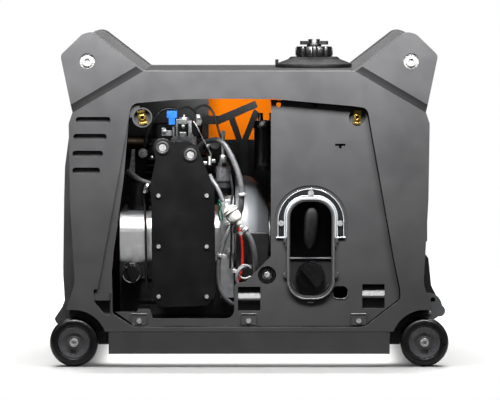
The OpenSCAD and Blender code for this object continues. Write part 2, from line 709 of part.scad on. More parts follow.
module air_cleaner_case() color("#1e1e20") {
    front = cleaner_y + 6;
    difference() {
        union() {
            slab(inset(cleaner_outline, 4), front, front + cleaner_deep);
            for (p = cleaner_screws) rod_y(4.5, p[0], front, front + 14, p[1]);
        }
        slab(inset(cleaner_outline, 7), front - over, front + cleaner_deep - 3);
        rod_y(12, -104, front + 40, front + cleaner_deep + over, 332);
        for (p = cleaner_screws) rod_y(2, p[0], front - over, front + 8, p[1]);
    }
    difference() {
        for (p = cleaner_bolts) rod_y(7.5, p[0], front + 0.5, front + cleaner_deep - 3, p[1]);
        for (p = cleaner_bolts) rod_y(2, p[0], front, front + 12, p[1]);
    }
}

module air_cleaner_cover() color("#141416") {
    difference() {
        union() {
            slab(inset(cleaner_outline, 0.8), cleaner_y, cleaner_y + 1.5);
            slab(cleaner_outline, cleaner_y + 1.5, cleaner_y + 6);
        }
        for (p = cleaner_screws) rod_y(2, p[0], cleaner_y - over, cleaner_y + 7, p[1]);
        for (p = cleaner_bolts) {
            rod_y(2, p[0], cleaner_y - over, cleaner_y + 7, p[1]);
            rod_y(8.4, p[0], cleaner_y - over, cleaner_y + 2, p[1]);
        }
    }
}

module air_cleaner_element() color("#3d3b33") {
    slab(rect(-136, -72, 118, 262, 6), cleaner_y + 16, cleaner_y + 48);
}

module carburetor() color("#9a9da1") {
    y0 = cleaner_y + 6 + cleaner_deep;
    difference() {
        union() {
            box([-124, -84], [y0 + 14, y0 + 52], [314, 352]);
            rod_y(16, -104, y0, y0 + 14, 332);
            rod_z(17, -104, y0 + 32, 290, 314);
            rod_z(4, -104, y0 + 32, 282, 290);
            rod_y(15, -104, y0 + 52, crank_y - 50.3, 334);
            box([-132, -124], [y0 + 20, y0 + 30], [320, 332]);
        }
        rod_y(11, -104, y0 - over, crank_y - 40, 333);
    }
}

module throttle_motor() color("#8f9296") {
    y0 = -half_w + 88;
    box([-121, -84], [y0 + 4, y0 + 38], [352, 354.5]);
    box([-116, -91], [y0 + 2, y0 + 32], [354.5, 381]);
    rod_z(10, -103.5, y0 + 17, 381, 386);
    rod_z(3, -103.5, y0 + 17, 386, 390);
    box([-121, -118.5], [y0 + 4, y0 + 20], [354.5, 372]);
}

module wiring_connector() color("#1c5fae") {
    y0 = -half_w + 84;
    box([-130, -114], [y0, y0 + 14], [386, 397]);
    box([-127, -117], [y0 + 1, y0 + 13], [375, 386]);
    box([-128, -124], [y0 - 1.5, y0], [389, 394]);
}

muffler_x = [-272, -222];
muffler_z = [122, 366];

module muffler() color("#6e6a66") {
    difference() {
        wall([[-46, muffler_z[0], 24], [138, muffler_z[0], 24], [138, muffler_z[1], 24],
            [-46, muffler_z[1], 24]], muffler_x[0], muffler_x[1]);
        wall([[-44, muffler_z[0] + 2, 22], [136, muffler_z[0] + 2, 22], [136, muffler_z[1] - 2, 22],
            [-44, muffler_z[1] - 2, 22]], muffler_x[0] + 2, muffler_x[1] - 2);
        rod_x(pipe_r - 3, -300, muffler_x[0] + 5, exhaust_y, exhaust_z);
    }
    difference() {
        rod_x(pipe_r, -half_l - 6, muffler_x[0], exhaust_y, exhaust_z);
        rod_x(pipe_r - 3, -half_l - 7, muffler_x[0] + over, exhaust_y, exhaust_z);
    }
    rod_x(10, muffler_x[1], crank_x - 40, port_y, port_z);
    for (y = [-20, 112]) box([muffler_x[1], muffler_x[1] + 3], [y - 12, y + 12], [140, 348]);
}

module fan_shroud() color("#77797d") {
    t = 2.5;
    r = shroud_r;
    turned_x([[r, -22, 0], [r, 8, 24], [66, 31, 8], [58, 31, 0], [58, 31 - t, 0], [65, 31 - t, 6],
        [r - t, 8 - t, 22], [r - t, -22, 0]]);
}

module recoil_housing() color("#2c2c2e") {
    x0 = 31.3;
    x1 = start_x + 14;
    difference() {
        turned_x([[66, x0, 0], [66, x0 + 3, 0], [rope_r + 13, x0 + 5, 2], [rope_r + 13, x1, 10], [0, x1, 0],
            [0, x1 - 3, 0], [rope_r + 10, x1 - 3, 8], [rope_r + 10, x0 + 3, 0], [rope_r + 8, x0, 0]]);
        rod_y(rope_d / 2 + 2.5, start_x, crank_y - 80, crank_y - 20, rope_z);
    }
    rod_x(8, start_x - 9, x1 - 2.9, crank_y, crank_z);
}

module alternator_stator() color("#9c6a3c") {
    turned_x([[36, -23.9, 0], [44, -23.9, 0], [44, -16, 0], [61, -16, 2], [61, 12, 2], [36, 12, 0]]);
}

module choke_actuator() color("#232325") {
    y0 = -half_w + 64;
    difference() {
        union() {
            rod_z(11.5, -41, y0 + 14, 276, 309);
            rod_z(8, -41, y0 + 14, 309, 316);
            rod_z(13, -41, y0 + 14, 286, 290);
        }
        rod_z(2.7 + fit, -41, y0 + 14, 288, 320);
    }
    box([-47, -35], [y0 + 24, case_y[0] + 22], [270, 276]);
    box([-47, -35], [y0 + 10, y0 + 25], [270, 276]);
    box([-47, -35], [case_y[0] + 10, case_y[0] + 22], [case_z[1] + 26.1, 276]);
}

module choke_rod() color("#b9bcc0") {
    y0 = -half_w + 64;
    rod_z(2.7, -41, y0 + 14, 296, 360);
    rod_z(4.6, -41, y0 + 14, 318, 322);
    rod_y(4, -41, y0 + 10, y0 + 18, 362);
}

module frame_brace() color("#141416") {
    y = [90, 96];
    slab([[-50, 366, 2], [14, 394, 2], [10, 405, 2], [-54, 378, 2]], y[0], y[1]);
    slab([[-14, 336, 2], [-4, 336, 2], [17, 384, 2], [8, 392, 2]], y[0] - 6, y[0]);
    slab([[-20, 336, 2], [-10, 336, 2], [-24, 378, 2], [-34, 374, 2]], y[0] - 6, y[0]);
    slab([[-24, 326, 3], [20, 326, 3], [20, 340, 3], [-24, 340, 3]], y[0], y[1]);
    slab([[-200, 320, 3], [-68, 320, 3], [-68, 432, 3], [-200, 432, 3]], y[1] + 60, y[1] + 63);
    box([-72, -48], [y[0], y[1]], [366, 380]);
    box([-76, -70], [y[0], y[1] + 63], [366, 380]);
    box([-16, -2], [y[0] - 6, y[0]], [floor_z, 340]);
}

module charcoal_canister() color("#141416") {
    difference() {
        union() {
            rod_z(19, 27, -100, 300, 380);
            rod_z(20.5, 27, -100, 306, 312);
            rod_z(20.5, 27, -100, 368, 374);
            rod_z(4, 18, -100, 380, 392);
            rod_z(4, 36, -100, 380, 392);
        }
        rod_z(17, 27, -100, 303, 377);
    }
}

// ---- fuel ----

module fuel_tank() color("#202022") {
    c = [[tank_x[0], tank_y[0], 30], [tank_x[1], tank_y[0], 30],
        [tank_x[1], tank_y[1], 30], [tank_x[0], tank_y[1], 30]];
    slope = [[tank_x[0] - over, 290, 0], [tank_x[1] + over, 290, 0], [tank_x[1] + over, shoulder[1] - 30, 0],
        [ear_foot_x + 9, tank_top, 20], [tank_x[0] - over, tank_top, 0]];
    difference() {
        union() {
            intersection() {
                deck(c, 300, tank_top);
                slab(slope, -200, 200);
            }
            rod_z(neck_r, fill_x, fill_y, tank_top - 1, cap_z + 7);
            for (x = [75, 150]) for (y = [-110, 110]) rod_z(6, x, y, tank_top - 1, deck_z - shell_t);
            box([46.05, tank_x[0] + 2], [-105, -95], [334, 346]);
        }
        intersection() {
            deck(inset(c, 3), 303, tank_top - 3);
            slab(inset(slope, 3), -200, 200);
        }
        rod_z(neck_bore / 2, fill_x, fill_y, tank_top - 5, cap_z + 8);
    }
    rod_z(4.5, 64, -120, 290, 301);
}

module filler_collar() color("#1c1c1e") {
    base_r = cap_r + 31;
    translate([fill_x, fill_y, deck_z + 0.05]) rotate_extrude()
        polygon(rounded([[neck_r + 0.5, 0, 0], [base_r, 0, 0], [base_r, 6, 2], [base_r - 7, 9, 2],
            [cap_r + 12, 13.5, 4], [cap_r + 8, 17.4, 1], [neck_r + 0.5, 17.4, 0]]));
    difference() {
        box([fill_x - base_r - 2, fill_x - base_r + 8], [fill_y - 6, fill_y + 6], [deck_z + 0.05, deck_z + 13]);
        rod_z(base_r - 3, fill_x, fill_y, deck_z, deck_z + 20);
    }
}

module fuel_cap() color("#141416") {
    difference() {
        union() {
            rod_z(cap_r - 1.5, fill_x, fill_y, cap_z, cap_z + cap_h);
            rod_z(cap_r, fill_x, fill_y, cap_z + 1.5, cap_z + cap_h - 2);
        }
        rod_z(neck_r + fit, fill_x, fill_y, cap_z - over, cap_z + 7.2);
        for (i = [0:9]) translate([fill_x, fill_y, 0]) rotate([0, 0, 18 + 36 * i])
            rod_z(5, cap_r + 1.5, 0, cap_z - over, cap_z + cap_h + over);
        rod_z(4 + fit, fill_x, fill_y, cap_z + cap_h - 5, cap_z + cap_h + over);
    }
}

module cap_vent_lever() color("#1c1c1e") {
    z = cap_z + cap_h + 0.1;
    rod_z(4, fill_x, fill_y, z - 4.8, z + 1);
    rod_z(12, fill_x, fill_y, z, z + 5);
    rod_z(9.5, fill_x, fill_y, z + 5, z + 12);
    deck([[fill_x - 23, fill_y - 5, 4.9], [fill_x + 23, fill_y - 5, 4.9],
        [fill_x + 23, fill_y + 5, 4.9], [fill_x - 23, fill_y + 5, 4.9]], z + 3, z + 9);
}

// Hose routes, hand-laid from end to end
feed_hose = [[-79.5, -118, 338], [-70, -126, 346], [-57, -144, 351], [-46, -156, 350], [-36, -163, 341],
    [-28, -172, 329], [-21, -181, 309], [-12.5, -184, 287], [-11, -186, 262], [-13.5, -190, 246]];
return_hose = [[-57, -176, 288], [-50, -182, 278], [-42.5, -189, 264]];
pump_hose = [[-8.5, -194, 216], [-1, -196, 206], [4.5, -194, 192], [9, -190, 172], [8, -182, 154],
    [6, -172, 138], [8, -166, 122]];
drain_hose = [[-27, -192, 218], [-40, -190, 195], [-47, -186, 165], [-49, -184, 137],
    [-44, -184, 114], [-31, -182, 98], [-14, -176, 88]];
breather_hose = [[-190, -120, 300], [-181, -140, 292], [-168, -152, 283], [-157, -158, 277]];

module fuel_hoses() color("#262629") {
    tube(feed_hose, 4.6);
    tube(return_hose, 3.5);
    tube(pump_hose, 3.6);
    tube(drain_hose, 3.2);
    tube(breather_hose, 4);
}

// The inline filter leans along the line from its upper nipple to its lower one
filter_top = [-38, -189, 253.5];
filter_low = [-12.5, -194, 216.5];

module along(a, b) {
    d = b - a;
    translate(a) rotate([0, acos(d[2] / norm(d)), atan2(d[1], d[0])]) children();
}

module fuel_filter() color("#e8e6e0") {
    long = norm(filter_low - filter_top);
    along(filter_top, filter_low) {
        cylinder(r = 2.6, h = long);
        translate([0, 0, 6]) cylinder(r1 = 5, r2 = 9, h = 6);
        translate([0, 0, 12]) cylinder(r = 12.5, h = 3);
        translate([0, 0, 15]) cylinder(r = 10, h = long - 30);
        translate([0, 0, long - 15]) cylinder(r1 = 10, r2 = 5, h = 6);
        translate([0, 0, long - 9]) cylinder(r = 4.6, h = 5);
    }
}

// A clamp round the hose through the points p, at step i of its curve
module ring_clamp(p, i, r) {
    c = smooth(p, 6);
    along(c[i], c[i + 1]) difference() {
        union() {
            cylinder(r = r + 1.6, h = 5);
            for (s = [-1, 1]) translate([r + 3, 2.6 * s, 2.5]) cube([8, 1.6, 5], center = true);
        }
        translate([0, 0, -over]) cylinder(r = r, h = 7);
    }
}

// An open loop that holds the wires, on an arm from the crankcase
loop_x = -6.7;
loop_y = -187;
loop_z = 146.6;

module hose_clamps() color("#dadad6") {
    ring_clamp(breather_hose, 15, 4.5);
    ring_clamp(feed_hose, 46, 5);
    ring_clamp(drain_hose, 10, 3.7);
    ring_clamp(pump_hose, 1, 4.1);
    difference() {
        rod_y(11.7, loop_x, loop_y, loop_y + 4, loop_z);
        rod_y(9.4, loop_x, loop_y - over, loop_y + 5, loop_z);
        box([loop_x + 3, loop_x + 14], [loop_y - over, loop_y + 5], [loop_z - 7, loop_z + 5]);
    }
    box([column_x[1] - 2, loop_x - 11], [loop_y, loop_y + 4], [loop_z - 2, loop_z + 3]);
    box([column_x[1] - 2, column_x[1] + 2], [loop_y, case_y[0] - 6], [loop_z - 2, loop_z + 3]);
}

// Wires, drawn the same way
red_wire = [[-13, -176, 211], [-8, -178, 192], [-8, -178, 173], [-11, -172, 148], [-8, -164, 124]];
green_wire = [[-48, -176, 258], [-44, -174, 250], [-48, -170, 240], [-46, -164, 226]];
blue_wire = [[-112, -128, 398], [-96, -122, 402], [-84, -118, 390], [-84, -116, 372]];
plug_wire = [[-117, -131.5, 400], [-138, -129, 397], [-158, -126, 370], [-166, -124, 340]];
black_wire = [[-5, -172, 206], [0, -176, 192], [-2, -172, 170], [-4, -164, 150], [-2, -158, 124]];

module wiring() color("#b3261e") {
    tube(red_wire, 2, 8);
    tube(green_wire, 1.8, 8);
    tube(blue_wire, 1.6, 8);
    tube(plug_wire, 2.6, 8);
    tube(black_wire, 1.8, 8);
}

// ---- electrics ----

module inverter_module() color("#2a2a2d") {
    deck([[146, -60, 4], [246, -60, 4], [246, 130, 4], [146, 130, 4]], floor_z, 200);
    for (i = [0:8]) box([138, 146.5], [-50 + 20 * i, -44 + 20 * i], [48, 196]);
    for (y = [-30, 80]) box([180, 230], [y, y + 26], [200, 214]);
}

panel_z = [base_z + 109, deck_z - 116];

module panel_surround() color("#f08418") {
    y = half_w - 12;
    difference() {
        slab(inset(panel_open, 0.4), y - 3, y);
        slab(rect(-150.5, 150.5, panel_z[0] - 0.5, panel_z[1] + 0.5, 12), y - 4, y + over);
    }
    difference() {
        slab(inset(panel_open, -6), y - 5, y - 3);
        slab(rect(-140, 140, panel_z[0] + 10, panel_z[1] - 10, 8), y - 6, y - 2);
    }
}

outlet_x = [-106, -46, 104];
outlet_z = panel_z[0] + 52;
outlet_r = 21;
switch_x = -108;
switch_z = panel_z[1] - 44;
switch_y = half_w - 14;
switch_tilt = 7;
breaker_x = 30;

module control_panel() color("#18181a") {
    y = half_w - 12;
    difference() {
        union() {
            slab(rect(-150, 150, panel_z[0], panel_z[1], 12), y - 3, y + 3);
            slab(rect(switch_x - 22, switch_x + 22, switch_z - 16, switch_z + 16, 4), y + 3, y + 5);
            slab(rect(-20, 70, switch_z - 18, switch_z + 18, 3), y + 3, y + 4);
            rod_y(8, breaker_x, y + 3, y + 6, outlet_z);
            box([switch_x - 16, switch_x + 16], [y - 25, y - 2], [switch_z - 14, switch_z + 14]);
            box([breaker_x - 12, breaker_x + 12], [y - 25, y - 2], [outlet_z - 12, outlet_z + 12]);
        }
        for (x = outlet_x) rod_y(outlet_r + 0.3, x, y - 4, y + 4, outlet_z);
        box([switch_x - 12, switch_x + 12], [y - 22, y + 6], [switch_z - 8, switch_z + 8]);
        rod_y(5 + fit, breaker_x, y - 20, y + 7, outlet_z);
    }
    for (x = [-12, 7]) rod_x(2, switch_x + x, switch_x + x + 5, switch_y, switch_z);
}

module outlets() color("#111113") {
    y = half_w - 12;
    for (x = outlet_x) difference() {
        rod_y(outlet_r, x, y - 24, y + 4, outlet_z);
        for (s = [-1, 1]) box([x + 6 * s - 1, x + 6 * s + 1], [y - 12, y + 5], [outlet_z - 4, outlet_z + 4]);
        rod_y(2.4, x, y - 12, y + 5, outlet_z - 9);
    }
}

module terminals() color("#b3261e") {
    y = half_w - 9;
    for (x = [58, 76]) {
        rod_y(6, x, y + 0.02, y + 3, outlet_z);
        rod_y(3, x, y + 3, y + 8.5, outlet_z);
        rod_y(5, x, y + 5, y + 8, outlet_z);
    }
}

module engine_switch() color("#101012") {
    translate([switch_x, switch_y, switch_z]) rotate([-switch_tilt, 0, 0]) difference() {
        wall([[-8, -5, 1], [2, -7.4, 1], [7.6, -6.8, 0.5], [5.6, 0, 20], [7.6, 6.8, 0.5], [2, 7.4, 1], [-8, 5, 1]],
            -9.4, 9.4);
        rod_x(2 + fit, -12, 12, 0, 0);
    }
}

module breaker_button() color("#e8e6e0") {
    y = half_w - 12;
    rod_y(5, breaker_x, y - 8, y + 10, outlet_z);
}

// ---- moving parts ----

module crankshaft() color("#8f9296") {
    left = case_x[0] + 3.5;
    difference() {
        union() {
            rod_x(journal_r, left, case_x[0] + 22, crank_y, crank_z);
            rod_x(20, case_x[0] + 20, case_x[1] - 24, crank_y, crank_z);
            rod_x(journal_r, case_x[1] - 26, case_x[1] + 0.5, crank_y, crank_z);
            rod_x(tail_r, case_x[1], 70, crank_y, crank_z);
            for (x = [crank_x - 24, crank_x + 12]) rod_x(48, x, x + 12, crank_y, crank_z);
        }
        rod_x(4, 50, 71, crank_y, crank_z);
    }
}

module flywheel_fan() color("#5b5d61") {
    r = shroud_r - 7;
    difference() {
        union() {
            turned_x([[tail_r, 15, 0], [76, 15, 3], [76, -16, 0], [78, -16, 0], [78, 21, 2], [30, 21, 0],
                [30, 28, 0], [tail_r, 28, 0]]);
            turned_x([[65, -16, 0], [76.5, -16, 0], [76.5, 15.5, 0], [65, 15.5, 0]]);
            for (i = [0:15]) translate([0, crank_y, crank_z]) rotate([22.5 * i, 0, 0])
                box([-14, 4], [76, r], [-1.5, 1.5]);
        }
        for (i = [0:5]) translate([0, crank_y, crank_z]) rotate([60 * i, 0, 0]) rod_x(9, 10, 24, 48, 0);
    }
}

module recoil_pulley() color("#d0cdc4") {
    x = start_x;
    groove_r = rope_r - rope_d / 2 - 0.1;
    difference() {
        turned_x([[8 + fit, x - 8, 0], [rope_r + 4, x - 8, 1], [rope_r + 4, x - 4.5, 0], [groove_r, x - 3, 0],
            [groove_r, x + 3, 0], [rope_r + 4, x + 4.5, 0], [rope_r + 4, x + 8, 1], [8 + fit, x + 8, 0]]);
        for (i = [0:4]) translate([0, crank_y, crank_z]) rotate([72 * i, 0, 0])
            rod_x(7, x - 10, x + 10, 24, 0);
    }
}

grip_h = 73;
grip_lean = 2;
grip_y = recess_y + 6;

module starter_grip() color("#1e1e20") {
    translate([start_x, 0, rope_z]) rotate([0, grip_lean, 0]) difference() {
        union() {
            slab(rect(-12, 12, -grip_h / 2 - 3, grip_h / 2 - 3, 11.9), grip_y, grip_y + 20);
            slab(rect(-9.5, 9.5, -grip_h / 2, grip_h / 2 - 6, 9.4), grip_y - 2.5, grip_y);
            rod_y(7, 0, grip_y + 20, grip_y + 27, 0);
        }
        rod_y(rope_d / 2, 0, grip_y + 12, grip_y + 30, 0);
    }
}

module starter_rope() color("#2e2e30") {
    rod_y(rope_d / 2, start_x, grip_y + 12, crank_y, rope_z);
}

module choke_dial() color("#1e1e20") {
    difference() {
        union() {
            rod_y(dial_r, start_x, dial_y - 13, dial_y - 0.3, dial_z);
            rod_y(dial_r - 3, start_x, dial_y - 15, dial_y - 13, dial_z);
            rod_y(5, start_x, dial_y - 1, dial_y + 15.5, dial_z);
            translate([start_x, 0, dial_z]) rotate([0, -40, 0])
                box([-4.5, 4.5], [dial_y - 23, dial_y - 14], [3 - dial_r, dial_r - 3]);
        }
        for (i = [0:17]) translate([start_x, 0, dial_z]) rotate([0, 20 * i, 0])
            rod_y(1.6, 0, dial_y - 16, dial_y + over, dial_r + 0.6);
    }
}

module oil_cap() color("#1a1a1c") {
    y = case_y[0] - 26;
    difference() {
        union() {
            rod_y(13.3, oil_x, y - 10, y - 0.2, oil_z);
            rod_y(oil_r, oil_x, y - 1, y + 20, oil_z);
            rod_y(2.5, oil_x, y + 20, y + 34, oil_z);
            translate([oil_x, 0, oil_z]) rotate([0, -22, 0]) box([-4, 4], [y - 13, y - 9], [-12, 20]);
        }
        for (i = [0:11]) translate([oil_x, 0, oil_z]) rotate([0, 30 * i, 0])
            rod_y(2, 0, y - 16, y + over, 14.4);
    }
}

grip_at = [half_l - 5, pivot_z + 81];
elbow = [half_l, pivot_z + 38];

module pull_handle() color("#2c2c2e") {
    for (s = [-1, 1]) {
        y = s * (handle_w / 2 - arm_t / 2) - arm_t / 2;
        difference() {
            union() {
                rod_y(9, pivot_x, y, y + arm_t, pivot_z);
                slab([[pivot_x + 4.6, pivot_z + 4, 0], [elbow[0] + 5.5, elbow[1] + 2, 10],
                    [grip_at[0] + 5.5, grip_at[1] + 5.5, 5], [grip_at[0] - 5.5, grip_at[1] + 5.5, 5],
                    [elbow[0] - 5, elbow[1] - 1, 14], [pivot_x - 7, pivot_z - 4, 0]], y, y + arm_t);
            }
            rod_y(pivot_r + fit, pivot_x, y - over, y + arm_t + over, pivot_z);
        }
    }
    rod_y(grip_d / 2, grip_at[0], arm_t - handle_w / 2, handle_w / 2 - arm_t, grip_at[1]);
}

module handle_bracket() color("#8a8c90") {
    y = handle_w / 2 + 0.5;
    face = half_l - 2.45;
    both_sides() difference() {
        union() {
            intersection() {
                rod_y(22, half_l + 0.5, y, y + 6, pivot_z + 6.7);
                box([face, half_l + 40], [y, y + 6], [60, 120]);
            }
            rod_y(9, pivot_x, y, y + 6, pivot_z);
            rod_y(pivot_r, pivot_x, y - arm_t - 2, y + 1, pivot_z);
        }
        rod_y(4, half_l + 8, y - over, y + 7, pivot_z + 18);
    }
    box([face, face + 3], [-y, y], [66, 82]);
}

module wheel(x, side) {
    r = wheel_r;
    w = wheel_w;
    hub = axle_d / 2 + fit;
    translate([x, side * (half_w - wheel_in), wheel_r]) rotate([side * 90, 0, 0]) difference() {
        rotate_extrude() polygon(rounded([[hub, 6, 0], [15.6, 6, 0], [15.6, 3, 0], [22, 3, 0], [24.7, 4.6, 0],
            [24.7, 1.5, 0], [r - 9, 0, 0], [r - 3, 1, 3], [r, 6, 3], [r, w - 5, 3], [r - 4, w, 2],
            [r - 9, w, 0], [r - 9, w - 8, 0], [14, w - 8, 0], [14, w, 0], [hub, w, 0]]));
        for (i = [0:5]) rotate([0, 0, 60 * i]) translate([19.5, 0, w - 20]) cylinder(r = 4, h = 21);
    }
}

module wheel_service_exhaust() color("#1b1b1d") wheel(-wheel_x, -1);
module wheel_service_intake() color("#1b1b1d") wheel(wheel_x, -1);
module wheel_control_exhaust() color("#1b1b1d") wheel(-wheel_x, 1);
module wheel_control_intake() color("#1b1b1d") wheel(wheel_x, 1);

module axle_bolts() color("#9c9fa3") {
    y = -half_w + wheel_in;
    both_sides() both_ends() difference() {
        union() {
            rod_y(6.5, wheel_x, y - 0.5, y + 5.9, wheel_r);
            rod_y(axle_d / 2, wheel_x, y, -foot_y - 2.2, wheel_r);
        }
        translate([wheel_x, y + 2.5, wheel_r]) rotate([90, 0, 0]) cylinder(r = 3.4, h = 6, $fn = 6);
    }
}

base_tray();
service_side_shell();
control_side_shell();
top_cover();
exhaust_end_cover();
intake_end_cover();
carry_bars();
carry_bar_bolts();
inner_panel();
starter_recess();
recess_flange();
small_screws();
cover_clips();
crankcase();
cylinder_block();
cylinder_head();
air_cleaner_case();
air_cleaner_cover();
air_cleaner_element();
carburetor();
throttle_motor();
wiring_connector();
muffler();
fan_shroud();
recoil_housing();
alternator_stator();
engine_mounts();
choke_actuator();
choke_rod();
frame_brace();
charcoal_canister();
fuel_tank();
filler_collar();
fuel_filter();
hose_clamps();
fuel_hoses();
wiring();
inverter_module();
control_panel();
panel_surround();
outlets();
terminals();
crankshaft();
flywheel_fan();
recoil_pulley();
starter_grip();
starter_rope();
choke_dial();
fuel_cap();
cap_vent_lever();
oil_cap();
pull_handle();
handle_bracket();
wheel_service_exhaust();
wheel_service_intake();
wheel_control_exhaust();
wheel_control_intake();
axle_bolts();
engine_switch();
breaker_button();
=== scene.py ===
"""Portable inverter generator, seen from its open service side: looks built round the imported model."""
import math

import bmesh
import bpy
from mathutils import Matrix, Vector


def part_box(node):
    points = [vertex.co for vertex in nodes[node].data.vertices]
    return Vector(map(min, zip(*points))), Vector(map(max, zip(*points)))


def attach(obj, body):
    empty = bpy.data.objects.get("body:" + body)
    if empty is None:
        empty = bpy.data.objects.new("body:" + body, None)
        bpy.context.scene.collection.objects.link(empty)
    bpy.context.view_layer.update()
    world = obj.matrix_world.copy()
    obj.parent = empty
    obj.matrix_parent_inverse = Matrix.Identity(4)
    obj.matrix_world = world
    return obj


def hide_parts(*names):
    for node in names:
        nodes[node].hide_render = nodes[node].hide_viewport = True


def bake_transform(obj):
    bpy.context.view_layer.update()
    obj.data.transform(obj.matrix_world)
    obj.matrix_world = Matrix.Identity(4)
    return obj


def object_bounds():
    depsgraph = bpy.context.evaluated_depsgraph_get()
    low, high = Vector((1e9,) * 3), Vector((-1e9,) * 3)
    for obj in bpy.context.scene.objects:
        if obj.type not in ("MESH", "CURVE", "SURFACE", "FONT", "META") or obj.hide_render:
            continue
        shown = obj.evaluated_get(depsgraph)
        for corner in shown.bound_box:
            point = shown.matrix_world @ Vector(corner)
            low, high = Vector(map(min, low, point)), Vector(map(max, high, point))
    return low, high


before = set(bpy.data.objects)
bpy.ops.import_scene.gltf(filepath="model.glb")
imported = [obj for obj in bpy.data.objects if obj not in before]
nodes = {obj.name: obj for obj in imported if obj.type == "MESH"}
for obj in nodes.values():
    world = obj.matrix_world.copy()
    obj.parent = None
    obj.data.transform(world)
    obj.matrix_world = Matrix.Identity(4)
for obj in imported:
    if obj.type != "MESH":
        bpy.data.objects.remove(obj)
model_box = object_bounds()

MM = 0.001


# ---- camera ----

def add_camera():
    """A long lens, square to the service side and looking slightly down."""
    face_y = model_box[0][1]
    distance = 4.8
    beside_middle = 0.00125
    aim_height = 0.2615
    eye_height = 0.583
    width_in_view = 0.7766
    aim = Vector((beside_middle, face_y, aim_height))
    place = Vector((beside_middle, face_y - distance, eye_height))
    view = bpy.data.cameras.new("camera")
    view.sensor_width = 36.0
    view.lens = view.sensor_width * (aim - place).length / width_in_view
    camera = bpy.data.objects.new("camera", view)
    camera.location = place
    camera.rotation_euler = (aim - place).to_track_quat("-Z", "Y").to_euler()
    bpy.context.scene.collection.objects.link(camera)
    bpy.context.scene.camera = camera


add_camera()


# ---- materials ----

def colour(code):
    """An sRGB hex value as linear red, green, blue and alpha."""
    parts = [int(code[i:i + 2], 16) / 255 for i in (1, 3, 5)]
    return [p / 12.92 if p <= 0.04045 else ((p + 0.055) / 1.055) ** 2.4 for p in parts] + [1.0]


def per_mm(size):
    """Scale of a noise or cell texture whose features are about this many millimetres across."""
    return 1000.0 / size


def add(tree, kind, values=None, links=None, **settings):
    """Adds one node, with its settings, its plain input values and its links."""
    made = tree.nodes.new("ShaderNode" + kind)
    for name, value in settings.items():
        setattr(made, name, value)
    for name, value in (values or {}).items():
        made.inputs[name].default_value = value
    for name, source in (links or {}).items():
        tree.links.new(source, made.inputs[name])
    return made


def start(name, **values):
    """A new material: its tree, its shader and its object coordinates."""
    made = bpy.data.materials.new(name)
    made.use_nodes = True
    tree = made.node_tree
    shader = tree.nodes["Principled BSDF"]
    for key, value in values.items():
        shader.inputs[key.replace("_", " ")].default_value = value
    place = add(tree, "TexCoord").outputs["Object"]
    return made, tree, shader, place


def coat(tree, shader, tone, tones, gloss, rough, relief=None, depth=0.0, strength=1.0, span=(0.3, 0.7)):
    """Drifts the colour between two tones and the roughness between two values; relief is depth mm deep."""
    mixed = add(tree, "Mix", {6: colour(tones[0]), 7: colour(tones[1])}, {0: tone}, data_type="RGBA")
    tree.links.new(mixed.outputs[2], shader.inputs["Base Color"])
    limits = {"From Min": span[0], "From Max": span[1], "To Min": rough[0], "To Max": rough[1]}
    sheen = add(tree, "MapRange", limits, {"Value": gloss})
    tree.links.new(sheen.outputs["Result"], shader.inputs["Roughness"])
    if relief:
        raised = add(tree, "Bump", {"Strength": strength, "Distance": depth * MM}, {"Height": relief})
        tree.links.new(raised.outputs["Normal"], shader.inputs["Normal"])


def moulded_abs(name, dark, light, rough=0.5, shine=0.5):
    """ABS moulded in a spark-eroded tool: an even satin skin. The 0.1 mm grain is drawn at 1.4 mm."""
    made, tree, shader, place = start(name, IOR=1.53, Specular_IOR_Level=shine)
    cloud = add(tree, "TexNoise", {"Scale": per_mm(90.0), "Detail": 4.0}, {"Vector": place}).outputs["Fac"]
    tone = add(tree, "MapRange", {"From Min": 0.35, "From Max": 0.65}, {"Value": cloud}).outputs["Result"]
    gloss = add(tree, "TexNoise", {"Scale": per_mm(35.0), "Detail": 3.0}, {"Vector": place}).outputs["Fac"]
    grain = add(tree, "TexNoise", {"Scale": per_mm(1.4), "Detail": 2.0, "Roughness": 0.6}, {"Vector": place})
    coat(tree, shader, tone, (dark, light), gloss, (rough - 0.05, rough + 0.06), grain.outputs["Fac"], 0.05)
    return made


def gloss_moulding(name, dark, light, rough=0.25):
    """Nylon or PBT moulded in a polished tool: smooth, with faint flow marks some millimetres across."""
    made, tree, shader, place = start(name, IOR=1.5)
    tone = add(tree, "TexNoise", {"Scale": per_mm(12.0), "Detail": 3.0}, {"Vector": place}).outputs["Fac"]
    gloss = add(tree, "TexNoise", {"Scale": per_mm(6.0), "Detail": 4.0}, {"Vector": place}).outputs["Fac"]
    flow = add(tree, "TexNoise", {"Scale": per_mm(4.0), "Detail": 3.0}, {"Vector": place}).outputs["Fac"]
    coat(tree, shader, tone, (dark, light), gloss, (rough - 0.04, rough + 0.08), flow, 0.03)
    return made


def zinc_plated(name, dark="#b2b3b3", light="#e8e8e7", metal=1.0):
    """Zinc on pressed or turned steel: cloudy and bright, and paler where it is laid on as flake.

    The crystals are under a millimetre; they are drawn at 1.5 and 3 mm.
    """
    made, tree, shader, place = start(name, Metallic=metal)
    cloud = add(tree, "TexNoise", {"Scale": per_mm(3.0), "Detail": 5.0}, {"Vector": place}).outputs["Fac"]
    tone = add(tree, "MapRange", {"From Min": 0.35, "From Max": 0.65}, {"Value": cloud}).outputs["Result"]
    gloss = add(tree, "TexNoise", {"Scale": per_mm(1.5), "Detail": 3.0}, {"Vector": place}).outputs["Fac"]
    coat(tree, shader, tone, (dark, light), gloss, (0.28, 0.42))
    return made


